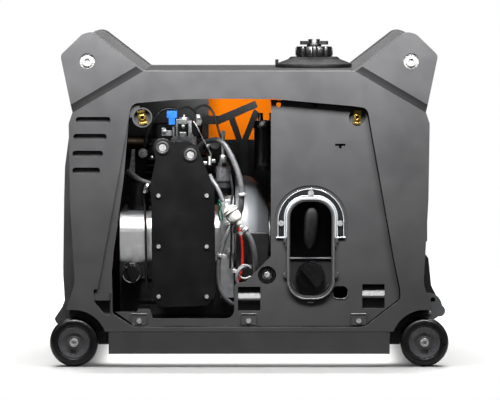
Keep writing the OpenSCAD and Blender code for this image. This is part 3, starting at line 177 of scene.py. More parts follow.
def stamped_brass(name):
    """Brass strip, stamped and bent: yellow, with light tarnish in patches."""
    made, tree, shader, place = start(name, Metallic=1.0)
    cloud = add(tree, "TexNoise", {"Scale": per_mm(6.0), "Detail": 5.0}, {"Vector": place}).outputs["Fac"]
    tone = add(tree, "MapRange", {"From Min": 0.3, "From Max": 0.7}, {"Value": cloud}).outputs["Result"]
    gloss = add(tree, "TexNoise", {"Scale": per_mm(2.0), "Detail": 3.0}, {"Vector": place}).outputs["Fac"]
    coat(tree, shader, tone, ("#7d6427", "#d6b768"), gloss, (0.22, 0.42))
    return made


def cast_aluminium(name, dark, light, rough=0.5, relief=0.25):
    """Aluminium die casting, shot-blasted: a pebbled grey skin. The 0.4 mm pebbles are drawn at 1.6 mm."""
    made, tree, shader, place = start(name, Metallic=1.0)
    cloud = add(tree, "TexNoise", {"Scale": per_mm(14.0), "Detail": 5.0}, {"Vector": place}).outputs["Fac"]
    tone = add(tree, "MapRange", {"From Min": 0.3, "From Max": 0.7}, {"Value": cloud}).outputs["Result"]
    gloss = add(tree, "TexNoise", {"Scale": per_mm(5.0), "Detail": 3.0}, {"Vector": place}).outputs["Fac"]
    pebbles = add(tree, "TexVoronoi", {"Scale": per_mm(1.6)}, {"Vector": place}).outputs["Distance"]
    coat(tree, shader, tone, (dark, light), gloss, (rough - 0.08, rough + 0.1), pebbles, relief, 0.5)
    return made


def casting_painted_shade_below(name):
    """An aluminium crankcase: bare, shot-blasted casting above; below, painted shade: it turns black and dull
    toward the sump.
    """
    made, tree, shader, place = start(name)
    height = add(tree, "SeparateXYZ", links={"Vector": place}).outputs["Z"]
    cloud = add(tree, "TexNoise", {"Scale": per_mm(18.0), "Detail": 4.0}, {"Vector": place}).outputs["Fac"]
    ragged = add(tree, "Math", {1: 0.02}, {0: cloud}, operation="MULTIPLY").outputs[0]
    edge = add(tree, "Math", links={0: height, 1: ragged}, operation="ADD").outputs[0]
    # painted shade: the casting goes from bare metal to black between 166 and 192 mm up, standing in for the shadow
    # round the sump
    unshaded_above = add(tree, "MapRange", {"From Min": 0.166, "From Max": 0.192}, {"Value": edge}).outputs["Result"]
    tree.links.new(unshaded_above, shader.inputs["Metallic"])
    gloss = add(tree, "TexNoise", {"Scale": per_mm(5.0), "Detail": 3.0}, {"Vector": place}).outputs["Fac"]
    pebbles = add(tree, "TexVoronoi", {"Scale": per_mm(1.6)}, {"Vector": place}).outputs["Distance"]
    coat(tree, shader, unshaded_above, ("#0c0c0d", "#ececed"), gloss, (0.42, 0.6), pebbles, 0.25, 0.5)
    return made


def painted_steel(name, dark, light, rough=0.4):
    """Powder-coated sheet steel: a faint orange-peel ripple."""
    made, tree, shader, place = start(name, IOR=1.5)
    tone = add(tree, "TexNoise", {"Scale": per_mm(40.0), "Detail": 4.0}, {"Vector": place}).outputs["Fac"]
    gloss = add(tree, "TexNoise", {"Scale": per_mm(20.0), "Detail": 3.0}, {"Vector": place}).outputs["Fac"]
    peel = add(tree, "TexNoise", {"Scale": per_mm(2.2), "Detail": 1.0}, {"Vector": place}).outputs["Fac"]
    coat(tree, shader, tone, (dark, light), gloss, (rough - 0.05, rough + 0.06), peel, 0.06)
    return made


def scorched_steel(name):
    """Aluminised sheet steel that runs hot: straw and brown stains over grey."""
    made, tree, shader, place = start(name, Metallic=1.0)
    cloud = add(tree, "TexNoise", {"Scale": per_mm(60.0), "Detail": 5.0}, {"Vector": place}).outputs["Fac"]
    stain = add(tree, "ValToRGB", links={"Fac": cloud})
    ramp = stain.color_ramp
    ramp.elements[0].color = colour("#4c4a48")
    ramp.elements[0].position = 0.32
    ramp.elements[1].color = colour("#8d8478")
    ramp.elements[1].position = 0.68
    ramp.elements.new(0.5).color = colour("#756754")
    tree.links.new(stain.outputs["Color"], shader.inputs["Base Color"])
    gloss = add(tree, "TexNoise", {"Scale": per_mm(8.0), "Detail": 3.0}, {"Vector": place}).outputs["Fac"]
    limits = {"From Min": 0.3, "From Max": 0.7, "To Min": 0.38, "To Max": 0.6}
    sheen = add(tree, "MapRange", limits, {"Value": gloss})
    tree.links.new(sheen.outputs["Result"], shader.inputs["Roughness"])
    return made


def moulded_rubber(name, dark="#141415", light="#222223", rough=0.62, relief=0.08, shine=0.5):
    """EPDM or nitrile rubber: matt, with a dusty bloom. The 0.2 mm grain is drawn at 1.5 mm."""
    made, tree, shader, place = start(name, IOR=1.52, Specular_IOR_Level=shine)
    cloud = add(tree, "TexNoise", {"Scale": per_mm(9.0), "Detail": 5.0}, {"Vector": place}).outputs["Fac"]
    tone = add(tree, "MapRange", {"From Min": 0.35, "From Max": 0.65}, {"Value": cloud}).outputs["Result"]
    gloss = add(tree, "TexNoise", {"Scale": per_mm(5.0), "Detail": 3.0}, {"Vector": place}).outputs["Fac"]
    grain = add(tree, "TexNoise", {"Scale": per_mm(1.5), "Detail": 3.0}, {"Vector": place}).outputs["Fac"]
    coat(tree, shader, tone, (dark, light), gloss, (rough - 0.08, rough + 0.08), grain, relief)
    return made


def clear_polycarbonate(name, through=0.96, dark="#75787b", light="#8c8f93", rough=0.05):
    """Clear polycarbonate, injection moulded: glassy sheets. Made paler and less clear, as for the ribs, it gives
    them a painted highlight.
    """
    made, tree, shader, place = start(name, IOR=1.58, Transmission_Weight=through)
    tone = add(tree, "TexNoise", {"Scale": per_mm(20.0), "Detail": 3.0}, {"Vector": place}).outputs["Fac"]
    gloss = add(tree, "TexNoise", {"Scale": per_mm(8.0), "Detail": 3.0}, {"Vector": place}).outputs["Fac"]
    flow = add(tree, "TexNoise", {"Scale": per_mm(9.0), "Detail": 1.0}, {"Vector": place}).outputs["Fac"]
    coat(tree, shader, tone, (dark, light), gloss, (rough, rough + 0.06), flow, 0.05)
    return made


def milky_nylon(name):
    """Natural nylon, moulded: off-white, smooth and a little uneven in tone."""
    made, tree, shader, place = start(name, IOR=1.53)
    tone = add(tree, "TexNoise", {"Scale": per_mm(10.0), "Detail": 3.0}, {"Vector": place}).outputs["Fac"]
    gloss = add(tree, "TexNoise", {"Scale": per_mm(4.0), "Detail": 3.0}, {"Vector": place}).outputs["Fac"]
    flow = add(tree, "TexNoise", {"Scale": per_mm(3.0), "Detail": 3.0}, {"Vector": place}).outputs["Fac"]
    coat(tree, shader, tone, ("#94938e", "#adaca7"), gloss, (0.3, 0.42), flow, 0.03)
    return made


def copper_and_steel(name):
    """Varnished copper windings between steel sheets: fine reddish bands along the crankshaft.

    A wave texture's straight bands are 0.31 of its size apart, so the 0.5 mm sheets are drawn 1.9 mm apart.
    """
    made, tree, shader, place = start(name, Metallic=0.9)
    sheets = add(tree, "TexWave", {"Scale": per_mm(6.0), "Distortion": 0.4}, {"Vector": place},
                 bands_direction="X").outputs["Fac"]
    gloss = add(tree, "TexNoise", {"Scale": per_mm(3.0), "Detail": 3.0}, {"Vector": place}).outputs["Fac"]
    coat(tree, shader, sheets, ("#7a4322", "#b8733c"), gloss, (0.3, 0.5), sheets, 0.4)
    return made


def braided_cord(name):
    """Nylon braid: slanting dark and grey strands along the rope.

    A wave texture's diagonal bands are 0.63 of its size apart, so the 1 to 2 mm strands are drawn 4.4 mm apart.
    """
    made, tree, shader, place = start(name, IOR=1.53)
    strands = add(tree, "TexWave", {"Scale": per_mm(7.0), "Distortion": 0.6}, {"Vector": place},
                  bands_direction="DIAGONAL").outputs["Fac"]
    coat(tree, shader, strands, ("#161617", "#4a4a4c"), strands, (0.6, 0.8), strands, 0.3, span=(0.0, 1.0))
    return made


def oiled_foam(name):
    """Open-cell polyurethane foam, oiled: a mesh of pores. The 0.8 mm pores are drawn at 2.5 mm."""
    made, tree, shader, place = start(name, IOR=1.4)
    pores = add(tree, "TexVoronoi", {"Scale": per_mm(2.5)}, {"Vector": place}).outputs["Distance"]
    coat(tree, shader, pores, ("#16150f", "#4a4738"), pores, (0.5, 0.85), pores, 0.8, span=(0.0, 1.0))
    return made


charcoal_abs = moulded_abs("charcoal_abs", "#2c2c2d", "#303031", 0.46)
panel_abs = moulded_abs("panel_abs", "#303031", "#343435", 0.42)
dark_abs = moulded_abs("dark_abs", "#212122", "#252526", 0.5)
black_abs = moulded_abs("black_abs", "#060607", "#09090a", 0.3)
black_pbt = gloss_moulding("black_pbt", "#08080a", "#0f0f10", 0.26)
# a paler copy of black PBT for the choke actuator: its lighter tone is painted sheen
pbt_painted_sheen = gloss_moulding("pbt_painted_sheen", "#29292a", "#3a3a3c", 0.24)
orange_abs = moulded_abs("orange_abs", "#ff7f00", "#ff8702", 0.8, shine=0.1)
blue_nylon = gloss_moulding("blue_nylon", "#2b7de6", "#3b92fa")
red_pvc = gloss_moulding("red_pvc", "#a3160f", "#c8261c", 0.35)
white_nylon = milky_nylon("white_nylon")
clear_plastic = clear_polycarbonate("clear_plastic")
# paler and less clear than the sheet: a painted highlight on the flange's beads and feet
clear_rib_painted_highlight = clear_polycarbonate("clear_rib_painted_highlight", 0.4, "#a4a7aa", "#c6c9cc", 0.12)
zinc_steel = zinc_plated("zinc_steel")
zinc_flake = zinc_plated("zinc_flake", "#9fa09f", "#d6d6d5", 0.75)
brass = stamped_brass("brass")
bare_casting = cast_aluminium("bare_casting", "#b4b6b8", "#d9dadb", 0.48)
dark_casting = cast_aluminium("dark_casting", "#2f3032", "#47484b", 0.55)
black_anodised = cast_aluminium("black_anodised", "#151517", "#232325", 0.42, 0.1)
grey_paint = painted_steel("grey_paint", "#6a6c6f", "#76787b")
black_paint = painted_steel("black_paint", "#080809", "#0d0d0e", 0.45)
bracket_paint = painted_steel("bracket_paint", "#3a3b3c", "#48494a", 0.4)
hot_steel = scorched_steel("hot_steel")
hose_rubber = moulded_rubber("hose_rubber", "#3b3b3d", "#4b4b4d", 0.4)
wire_pvc = moulded_rubber("wire_pvc", "#111112", "#1c1c1d", 0.4)
mount_rubber = moulded_rubber("mount_rubber")
collar_rubber = moulded_rubber("collar_rubber", "#0a0a0b", "#131314", 0.5, shine=0.12)
tyre_rubber = moulded_rubber("tyre_rubber", "#060607", "#0b0b0c", 0.34, shine=0.3)
hub_nylon = gloss_moulding("hub_nylon", "#29292a", "#333335", 0.27)
# paler than the panel: the rims, brows and lips made of it are painted edge highlights
rim_abs_painted_highlight = gloss_moulding("rim_abs_painted_highlight", "#434345", "#515153", 0.3)
grip_rubber = moulded_rubber("grip_rubber", "#09090a", "#101011", 0.4, 0.15)
green_pvc = gloss_moulding("green_pvc", "#0e5a45", "#14775c", 0.35)
# the crankcase's black lower part is painted shade
crankcase_painted_shade = casting_painted_shade_below("crankcase_painted_shade")
windings = copper_and_steel("windings")
rope_braid = braided_cord("rope_braid")
filter_foam = oiled_foam("filter_foam")

FINISHES = {
    charcoal_abs: ["service_side_shell", "control_side_shell", "top_cover", "exhaust_end_cover",
                   "intake_end_cover"],
    dark_abs: ["base_tray", "starter_recess"],
    panel_abs: ["inner_panel"],
    black_abs: ["air_cleaner_case", "air_cleaner_cover", "charcoal_canister", "fuel_tank", "recoil_housing",
                "choke_dial", "fuel_cap", "cap_vent_lever", "oil_cap", "control_panel"],
    black_pbt: ["outlets", "engine_switch"],
    collar_rubber: ["filler_collar"],
    pbt_painted_sheen: ["choke_actuator"],
    orange_abs: ["panel_surround"],
    blue_nylon: ["wiring_connector"],
    red_pvc: ["terminals"],
    white_nylon: ["breaker_button", "recoil_pulley"],
    zinc_steel: ["choke_rod", "crankshaft"],
    zinc_flake: ["carry_bar_bolts", "small_screws", "axle_bolts", "hose_clamps"],
    brass: ["cover_clips"],
    bare_casting: ["carburetor", "throttle_motor"],
    crankcase_painted_shade: ["crankcase"],
    dark_casting: ["cylinder_block", "cylinder_head", "flywheel_fan"],
    black_anodised: ["inverter_module"],
    grey_paint: ["fan_shroud"],
    black_paint: ["frame_brace", "carry_bars", "pull_handle"],
    bracket_paint: ["handle_bracket"],
    hot_steel: ["muffler"],
    mount_rubber: ["engine_mounts"],
    windings: ["alternator_stator"],
    filter_foam: ["air_cleaner_element"],
}

ROUNDED_EDGES = {
    "service_side_shell": 1.8, "control_side_shell": 1.8, "top_cover": 1.4, "exhaust_end_cover": 1.5,
    "intake_end_cover": 1.5, "base_tray": 1.5, "inner_panel": 0.7, "starter_recess": 1.0, "crankcase": 1.5,
    "air_cleaner_cover": 1.4, "pull_handle": 1.2,
}


def soften(piece, width, segments=2):
    """Rounded edges, in millimetres."""
    edge = piece.modifiers.new("edge", "BEVEL")
    edge.width = width * MM
    edge.segments = segments
    edge.limit_method = "ANGLE"
    edge.angle_limit = math.radians(35)
    edge.harden_normals = True
    edge.use_clamp_overlap = True


def finish_nodes():
    """Every carried-over node gets its material and soft edges."""
    for material, names in FINISHES.items():
        for name in names:
            node = nodes[name]
            node.data.materials.clear()
            node.data.materials.append(material)
            weld = node.modifiers.new("weld", "WELD")
            weld.merge_threshold = 0.01 * MM
            soften(node, ROUNDED_EDGES.get(name, 0.4))


finish_nodes()


# ---- piece makers; lengths in millimetres ----

def middle(node):
    """The centre of a node's box, in millimetres."""
    low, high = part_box(node)
    return (low + high) / 2 / MM


def place_piece(name, data, material, body, replaced=()):
    """Links a finished mesh or curve, gives it its material and the body that it rides on."""
    piece = bpy.data.objects.new(name, data)
    data.materials.append(material)
    bpy.context.scene.collection.objects.link(piece)
    if body:
        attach(piece, body)
    if replaced:
        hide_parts(*replaced)
    return piece


def mesh_from(made, name, sharp=32):
    """A mesh from a bmesh, smooth except at sharp edges."""
    bmesh.ops.recalc_face_normals(made, faces=made.faces)
    mesh = bpy.data.meshes.new(name)
    made.to_mesh(mesh)
    made.free()
    for face in mesh.polygons:
        face.use_smooth = True
    mesh.set_sharp_from_angle(angle=math.radians(sharp))
    return mesh


def turned(name, profile, centre, axis, material, body, replaced=(), closed=True, steps=96):
    """A turned piece: (radius, distance along the axis) pairs revolved about the axis through centre."""
    axis = Vector(axis).normalized()
    side = axis.orthogonal().normalized()
    other = axis.cross(side)
    centre = Vector(centre)
    made = bmesh.new()
    rings = []
    for radius, along in profile:
        base = centre + axis * along
        if radius < 1e-6:
            rings.append([made.verts.new(base * MM)])
        else:
            rings.append([made.verts.new((base + (side * math.cos(math.tau * k / steps)
                                                  + other * math.sin(math.tau * k / steps)) * radius) * MM)
                          for k in range(steps)])
    pairs = list(zip(rings, rings[1:])) + ([(rings[-1], rings[0])] if closed else [])
    for a, b in pairs:
        for k in range(steps):
            corners = [a[k % len(a)], a[(k + 1) % steps % len(a)], b[(k + 1) % steps % len(b)], b[k % len(b)]]
            corners = list(dict.fromkeys(corners))
            if len(corners) > 2:
                made.faces.new(corners)
    return place_piece(name, mesh_from(made, name), material, body, replaced)


def smooth_route(points, steps=10):
    """A smooth curve through the points."""
    p = [Vector(q) for q in points]
    out = []
    for i in range(len(p) - 1):
        a, b, c, d = p[max(0, i - 1)], p[i], p[i + 1], p[min(len(p) - 1, i + 2)]
        for k in range(steps):
            t = k / steps
            out.append(0.5 * (2 * b + (c - a) * t + (2 * a - 5 * b + 4 * c - d) * t * t
                              + (3 * b - a - 3 * c + d) * t ** 3))
    return out + [p[-1]]


def swept(name, points, radius, material, body, replaced=(), cyclic=False):
    """A round bar, hose or bead along the points."""
    data = bpy.data.curves.new(name, "CURVE")
    data.dimensions = "3D"
    data.bevel_mode = "ROUND"
    data.bevel_depth = radius * MM
    data.bevel_resolution = 5
    data.use_fill_caps = not cyclic
    line = data.splines.new("POLY")
    line.points.add(len(points) - 1)
    for spot, point in zip(line.points, points):
        spot.co = (*(Vector(point) * MM), 1)
    line.use_cyclic_u = cyclic
    line.use_smooth = True
    return place_piece(name, data, material, body, replaced)


def plate(name, outline, y0, y1, edge, material, body, replaced=()):
    """A moulded plate: an XZ outline between two Y values, with rounded edges."""
    made = bmesh.new()
    front = [made.verts.new(Vector((x, y0, z)) * MM) for x, z in outline]
    back = [made.verts.new(Vector((x, y1, z)) * MM) for x, z in outline]
    made.faces.new(front)
    made.faces.new(back[::-1])
    n = len(outline)
    for i in range(n):
        made.faces.new((front[i], back[i], back[(i + 1) % n], front[(i + 1) % n]))
    piece = place_piece(name, mesh_from(made, name), material, body, replaced)
    soften(piece, edge, 3)
    return piece


def arc(x, z, radius, start_angle, end_angle, steps):
    """Points on an arc in the XZ plane, angles in degrees."""
    return [(x + radius * math.cos(math.radians(start_angle + (end_angle - start_angle) * i / steps)),
             z + radius * math.sin(math.radians(start_angle + (end_angle - start_angle) * i / steps)))
            for i in range(steps + 1)]


# ---- wheels ----

TYRE = [(25.2, 2.6), (25.6, 1.2), (26.6, 0.5), (30.5, 0.1), (33.6, 0.5), (35.6, 1.7), (37.0, 3.6),
        (37.8, 6.2), (38.0, 9.0), (38.0, 13.2), (37.2, 13.6), (37.2, 14.4), (38.0, 14.8), (38.0, 21.0),
        (37.7, 25.0),
        (36.8, 27.8), (34.8, 29.4), (31.5, 29.9), (26.5, 29.9), (25.2, 28.8)]
HUB = [(5.2, 6.2), (8.6, 6.2), (9.2, 6.6), (13.6, 6.8), (15.2, 6.2), (15.8, 6.0), (16.6, 5.9), (23.4, 1.2),
       (24.4, 1.1), (25.3, 2.7), (25.3, 21.8), (14.0, 21.8), (14.0, 29.8), (5.2, 29.8)]


def add_wheels():
    """Four wheels, each a tyre round a dished hub, turned about its axle."""
    wheels = [("wheel_service_exhaust", "wheel_a", 1), ("wheel_service_intake", "wheel_b", 1),
              ("wheel_control_exhaust", "wheel_c", -1), ("wheel_control_intake", "wheel_d", -1)]
    for name, body, side in wheels:
        low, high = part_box(name)
        centre = middle(name)
        face = Vector((centre.x, (low.y if side > 0 else high.y) / MM, centre.z))
        tyre = turned(name + "_tyre", TYRE, face, (0, side, 0), tyre_rubber, body, (name,), steps=128)
        turned(name + "_hub", HUB, face, (0, side, 0), hub_nylon, body, steps=128)


add_wheels()


# ---- starter recess ----

def add_recess():
    """The clear flange with its beads and feet, the rim round the pocket, and its lugs. The beads, feet and rims
    are painted highlights in paler plastics.
    """
    low, high = (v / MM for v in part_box("recess_flange"))
    x = (low.x + high.x) / 2
    outer = (high.x - low.x) / 2
    arch_z = high.z - outer
    foot = low.z
    pocket_low, pocket_high = (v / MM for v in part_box("starter_recess"))
    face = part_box("inner_panel")[0].y / MM + 3.0
    half = 35.5
    corner = half - 7.0
    left, right = x - half + corner, x + half - corner
    top = pocket_high.z
    inside = [(x + half, foot)] + arc(right, top - corner, corner, 0, 90, 14)
    inside += arc(left, top - corner, corner, 90, 180, 14) + [(x - half, foot)]
    band = [(x - outer, foot)] + arc(x, arch_z, outer, 180, 0, 40) + [(x + outer, foot)]
    flange = plate("flange_plate", band + inside, face - 1.2, face + 1.0, 0.5, clear_plastic, "machine",
                   ("recess_flange",))
    beads = [("flange_bead_inner", 2.2, 1.9, 2.2), ("flange_bead_middle", 5.4, 1.1, 1.6)]
    for name, gap, radius, out in beads:
        c = corner + gap
        h = half + gap
        bead = [(x + h, foot)] + arc(right, top - corner, c, 0, 90, 16)
        bead += arc(left, top - corner, c, 90, 180, 16) + [(x - h, foot)]
        swept(name, [(px, face - out, pz) for px, pz in bead], radius, clear_rib_painted_highlight, "machine")
    rim = [(x - outer + 1.2, foot)] + arc(x, arch_z, outer - 1.2, 180, 0, 44) + [(x + outer - 1.2, foot)]
    swept("flange_bead_outer", [(px, face - 1.3, pz) for px, pz in rim], 0.7, clear_rib_painted_highlight, "machine")
    for side, name in [(-1, "left"), (1, "right")]:
        sole = [(x + side * reach, face - 1.6, foot - 0.6) for reach in (half + 3, outer + 1.5)]
        swept("flange_foot_" + name, sole, 1.3, clear_rib_painted_highlight, "machine")
    low_z = pocket_low.z
    edge = arc(left, top - corner, corner, 90, 180, 12) + arc(left, low_z + corner, corner, 180, 270, 16)
    edge += arc(right, low_z + corner, corner, 270, 360, 16) + arc(right, top - corner, corner, 0, 90, 12)
    edge = [(px, pocket_low.y + 1.0, pz) for px, pz in edge]
    # painted highlight: the rim round the pocket is paler than the panel
    swept("recess_rim", edge, 1.7, rim_abs_painted_highlight, "machine", cyclic=True)
    for i, (dx, dz) in enumerate([(-1, 26.5), (1, 26.5), (-1, -28), (1, -28)]):
        z = pocket_low.z + 61 + dz
        lug = [(x + dx * (half + 2.2), z), (x + dx * (half + 7.2), z + 0.8), (x + dx * (half + 7.2), z + 7.6),
               (x + dx * (half + 2.2), z + 8.4)]
        plate("recess_lug_" + str(i + 1), lug, face - 3.4, face + 0.4, 0.8, panel_abs, "machine")
    lug = [(x - 5, low_z - 7), (x + 5, low_z - 7), (x + 5.6, low_z - 2), (x - 5.6, low_z - 2)]
    plate("recess_lug_5", lug, face - 3.0, face + 0.4, 0.8, panel_abs, "machine")
    shelf = middle("choke_dial").z + 28
    # painted highlight: the shelf edge and the dial well's lip are pale beads
    shelf_edge = [(x - half + 3.2, -181.5, shelf - 1), (x + half - 3.2, -181.5, shelf - 1)]
    swept("recess_shelf_edge", shelf_edge, 1.6, rim_abs_painted_highlight, "machine")
    well = corner - 5
    lip = arc(left, low_z + corner, well, 200, 270, 12) + arc(right, low_z + corner, well, 270, 340, 12)
    swept("dial_well_lip", [(px, -180.6, pz) for px, pz in lip], 1.1, rim_abs_painted_highlight, "machine")


add_recess()


def add_grip():
    """The starter grip, a rounded rubber-faced handle, fuller at the top, with its stem and its cord."""
    low, high = (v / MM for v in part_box("starter_grip"))
    centre = middle("starter_grip")
    long = high.z - low.z - 3
    lean = math.radians(4)
    rows = 28
    made = bmesh.new()
    rings = []
    for i in range(rows + 1):
        t = i / rows
        s = -math.cos(math.pi * t)
        z = s * long / 2
        fill = max(0.0, 1 - abs(s) ** 3.2) ** 0.5
        wide = (10.2 + 1.6 * s) * fill + 0.4
        deep = 9.6 * fill + 0.4
        ring = []
        for k in range(40):
            a = math.tau * k / 40
            cx, cy = math.cos(a), math.sin(a)
            px = wide * math.copysign(abs(cx) ** 0.8, cx)
            py = deep * math.copysign(abs(cy) ** 0.9, cy)
            ring.append(made.verts.new(Vector((centre.x + px * math.cos(lean) + z * math.sin(lean),
                                               low.y + 11.5 + py, centre.z + z * math.cos(lean))) * MM))
        rings.append(ring)
    for a, b in zip(rings, rings[1:]):
        for k in range(40):
            made.faces.new((a[k], a[(k + 1) % 40], b[(k + 1) % 40], b[k]))
    made.faces.new(rings[0][::-1])
    made.faces.new(rings[-1])
    grip = place_piece("starter_grip_body", mesh_from(made, "starter_grip_body", 60), grip_rubber, "starter",
                       ("starter_grip",))
    stem = high.y
    profile = [(0, stem - 10), (7, stem - 10), (6.6, stem - 3), (5.6, stem - 0.6), (4.6, stem), (2.4, stem),
               (2.4, stem - 1), (0, stem - 1)]
    turned("starter_grip_stem", profile, (centre.x, 0, centre.z), (0, 1, 0), black_abs, "starter",
           closed=False)
    rope_low, rope_high = (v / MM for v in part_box("starter_rope"))
    mid = middle("starter_rope")
    count = 160
    points = [(mid.x, rope_low.y + (rope_high.y - rope_low.y) * i / count, mid.z) for i in range(count + 1)]
    radius, sides = 2.1, 16
    rope = bmesh.new()
    round_the_rope = [(radius * math.cos(math.tau * k / sides), radius * math.sin(math.tau * k / sides))
                      for k in range(sides)]
    rings = [[rope.verts.new(Vector((x + a, y, z + b)) * MM) for a, b in round_the_rope]
             for x, y, z in points]
    for a, b in zip(rings, rings[1:]):
        for k in range(sides):
            rope.faces.new((a[k], a[(k + 1) % sides], b[(k + 1) % sides], b[k]))
    rope.faces.new(rings[0][::-1])
    rope.faces.new(rings[-1])
    mesh = mesh_from(rope, "starter_cord", 60)
    cord = place_piece("starter_cord", mesh, rope_braid, None, ("starter_rope",))
    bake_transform(cord)


add_grip()


# ---- fuel system and wiring ----

FEED_HOSE = [(-79.5, -118, 338), (-70, -126, 346), (-57, -144, 351), (-46, -156, 350), (-36, -163, 341),
             (-24, -168, 318), (-15, -172, 292), (-12, -174, 268), (-13, -172, 247), (-18, -166, 226),
             (-22, -158, 206)]
RETURN_HOSE = [(-62, -168, 296), (-57, -176, 288), (-50, -182, 278), (-40.5, -188, 257)]
PUMP_HOSE = [(-11, -194, 215), (-1, -195, 204), (4.5, -194, 192), (9, -190, 172), (10, -182, 150),
             (8, -172, 128)]
DRAIN_HOSE = [(-27, -184, 222), (-34, -190, 208), (-42, -188, 184), (-48, -186, 160), (-49, -184, 137),
              (-46, -182, 118), (-38, -178, 104), (-26, -172, 94)]
BREATHER_HOSE = [(-192, -118, 300), (-184, -136, 296), (-171, -150, 288), (-154, -158, 283)]
RED_WIRE = [(-17, -176, 215), (-12, -178, 196), (-10, -178, 173), (-12, -172, 148), (-16, -164, 126)]
GREEN_WIRES = [[(-48, -176, 258), (-44, -174, 250), (-48, -170, 240), (-46, -164, 226)],
               [(-50, -174, 254), (-46, -172, 246), (-43, -169, 238), (-42, -162, 226)]]
BLACK_WIRES = {
    "wire_plug": [(-117, -131.5, 400), (-138, -129, 397), (-158, -126, 370), (-166, -124, 340)],
    "wire_sensor": [(-112, -128, 398), (-96, -122, 402), (-84, -118, 390), (-78, -116, 366)],
    "wire_coil": [(-30, -176, 300), (-26, -178, 270), (-30, -176, 240), (-28, -172, 200), (-30, -168, 150)],
    "wire_ground": [(-5, -172, 206), (0, -176, 192), (-2, -172, 170), (-4, -164, 150), (-2, -158, 124)],
    "wire_valve": [(-90, -120, 396), (-72, -128, 405), (-58, -134, 396), (-50, -136, 372), (-44, -140, 352)],
    "wire_case": [(-166, -142, 262), (-164, -146, 220), (-163, -147, 170), (-162, -146, 110)],
}


def add_fuel_lines():
    """Hoses and wires along their routes."""
    for name, points, radius in [("hose_feed", FEED_HOSE, 4.5), ("hose_return", RETURN_HOSE, 3.6),
                                 ("hose_pump", PUMP_HOSE, 4.2), ("hose_drain", DRAIN_HOSE, 3.4),
                                 ("hose_breather", BREATHER_HOSE, 4.0)]:
        stands_for = ("fuel_hoses",) if name == "hose_feed" else ()
        piece = swept(name, smooth_route(points), radius, hose_rubber, "machine", stands_for)
    piece = swept("wire_red", smooth_route(RED_WIRE), 1.9, red_pvc, "machine", ("wiring",))
    for i, points in enumerate(GREEN_WIRES):
        swept("wire_green_" + str(i + 1), smooth_route(points), 1.3, green_pvc, "machine")
    for name, points in BLACK_WIRES.items():
        swept(name, smooth_route(points), 2.4 if name == "wire_plug" else 1.7, wire_pvc, "machine")


def add_filter():
    """The inline filter: a moulded bowl with a flanged joint and a hose barb at each end."""
    low, high = (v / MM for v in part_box("fuel_filter"))
    upper = Vector((low.x + 4, high.y - 14, high.z - 1.5))
    lower = Vector((high.x - 2.6, low.y + 9, low.z + 2))
    upper.y, lower.y = -189, -194
    axis = lower - upper
    long = axis.length
    bowl = [(0, 0), (3.0, 0), (3.4, 0.6), (3.0, 3.0), (3.5, 3.6), (3.1, 6), (6.2, 6.6), (9.0, 8.6),
            (10.0, 10.4), (12.4, 10.9), (12.9, 11.8), (12.4, 12.8), (11.6, 13.1), (11.8, 14.6), (13.3, 15.0),
            (13.6, 16.0), (13.2, 17.0), (11.0, 17.4), (10.9, long - 16.5), (10.2, long - 13.5),
            (8.4, long - 11.2), (5.8, long - 10.2), (5.4, long - 5), (5.0, long - 4.4), (3.4, long - 4),
            (3.0, long), (0, long)]
    piece = turned("filter_bowl", bowl, upper, axis, white_nylon, "machine", ("fuel_filter",), closed=False)
    side = axis.normalized().orthogonal().normalized()
    other = axis.normalized().cross(side)
    unit = axis.normalized()
    for i in range(8):
        a = math.tau * i / 8
        out = side * math.cos(a) + other * math.sin(a)
        rib = [upper + unit * (17.5 + 0.4 * k) + out * 10.9 for k in range(0, 27, 2)]
        swept("filter_rib_" + str(i + 1), rib, 0.7, white_nylon, "machine")


add_fuel_lines()
add_filter()


# ---- fasteners and small engine pieces ----

CLEANER_BOLTS = [(-135.1, 341.6), (-91.6, 330.6)]


def hex_bolt(name, centre, radius, body, material):
    """A flanged hexagon bolt head that faces -Y."""
    made = bmesh.new()
    angles = [math.tau * k / 6 + 0.3 for k in range(6)]
    across = [(radius * math.cos(a), radius * math.sin(a)) for a in angles]
    x, y, z = centre
    front = [made.verts.new(Vector((x + a, y - 5, z + b)) * MM) for a, b in across]
    back = [made.verts.new(Vector((x + a, y, z + b)) * MM) for a, b in across]
    made.faces.new(front)
    made.faces.new(back[::-1])
    for i in range(6):
        made.faces.new((front[i], back[i], back[(i + 1) % 6], front[(i + 1) % 6]))
    head = place_piece(name + "_head", mesh_from(made, name), material, body)
    soften(head, 0.9, 3)
    washer = [(2, -1), (radius + 2.6, -1), (radius + 3.2, -0.4), (radius + 3.2, 1), (2, 1)]
    turned(name + "_washer", washer, centre, (0, 1, 0), material, body)


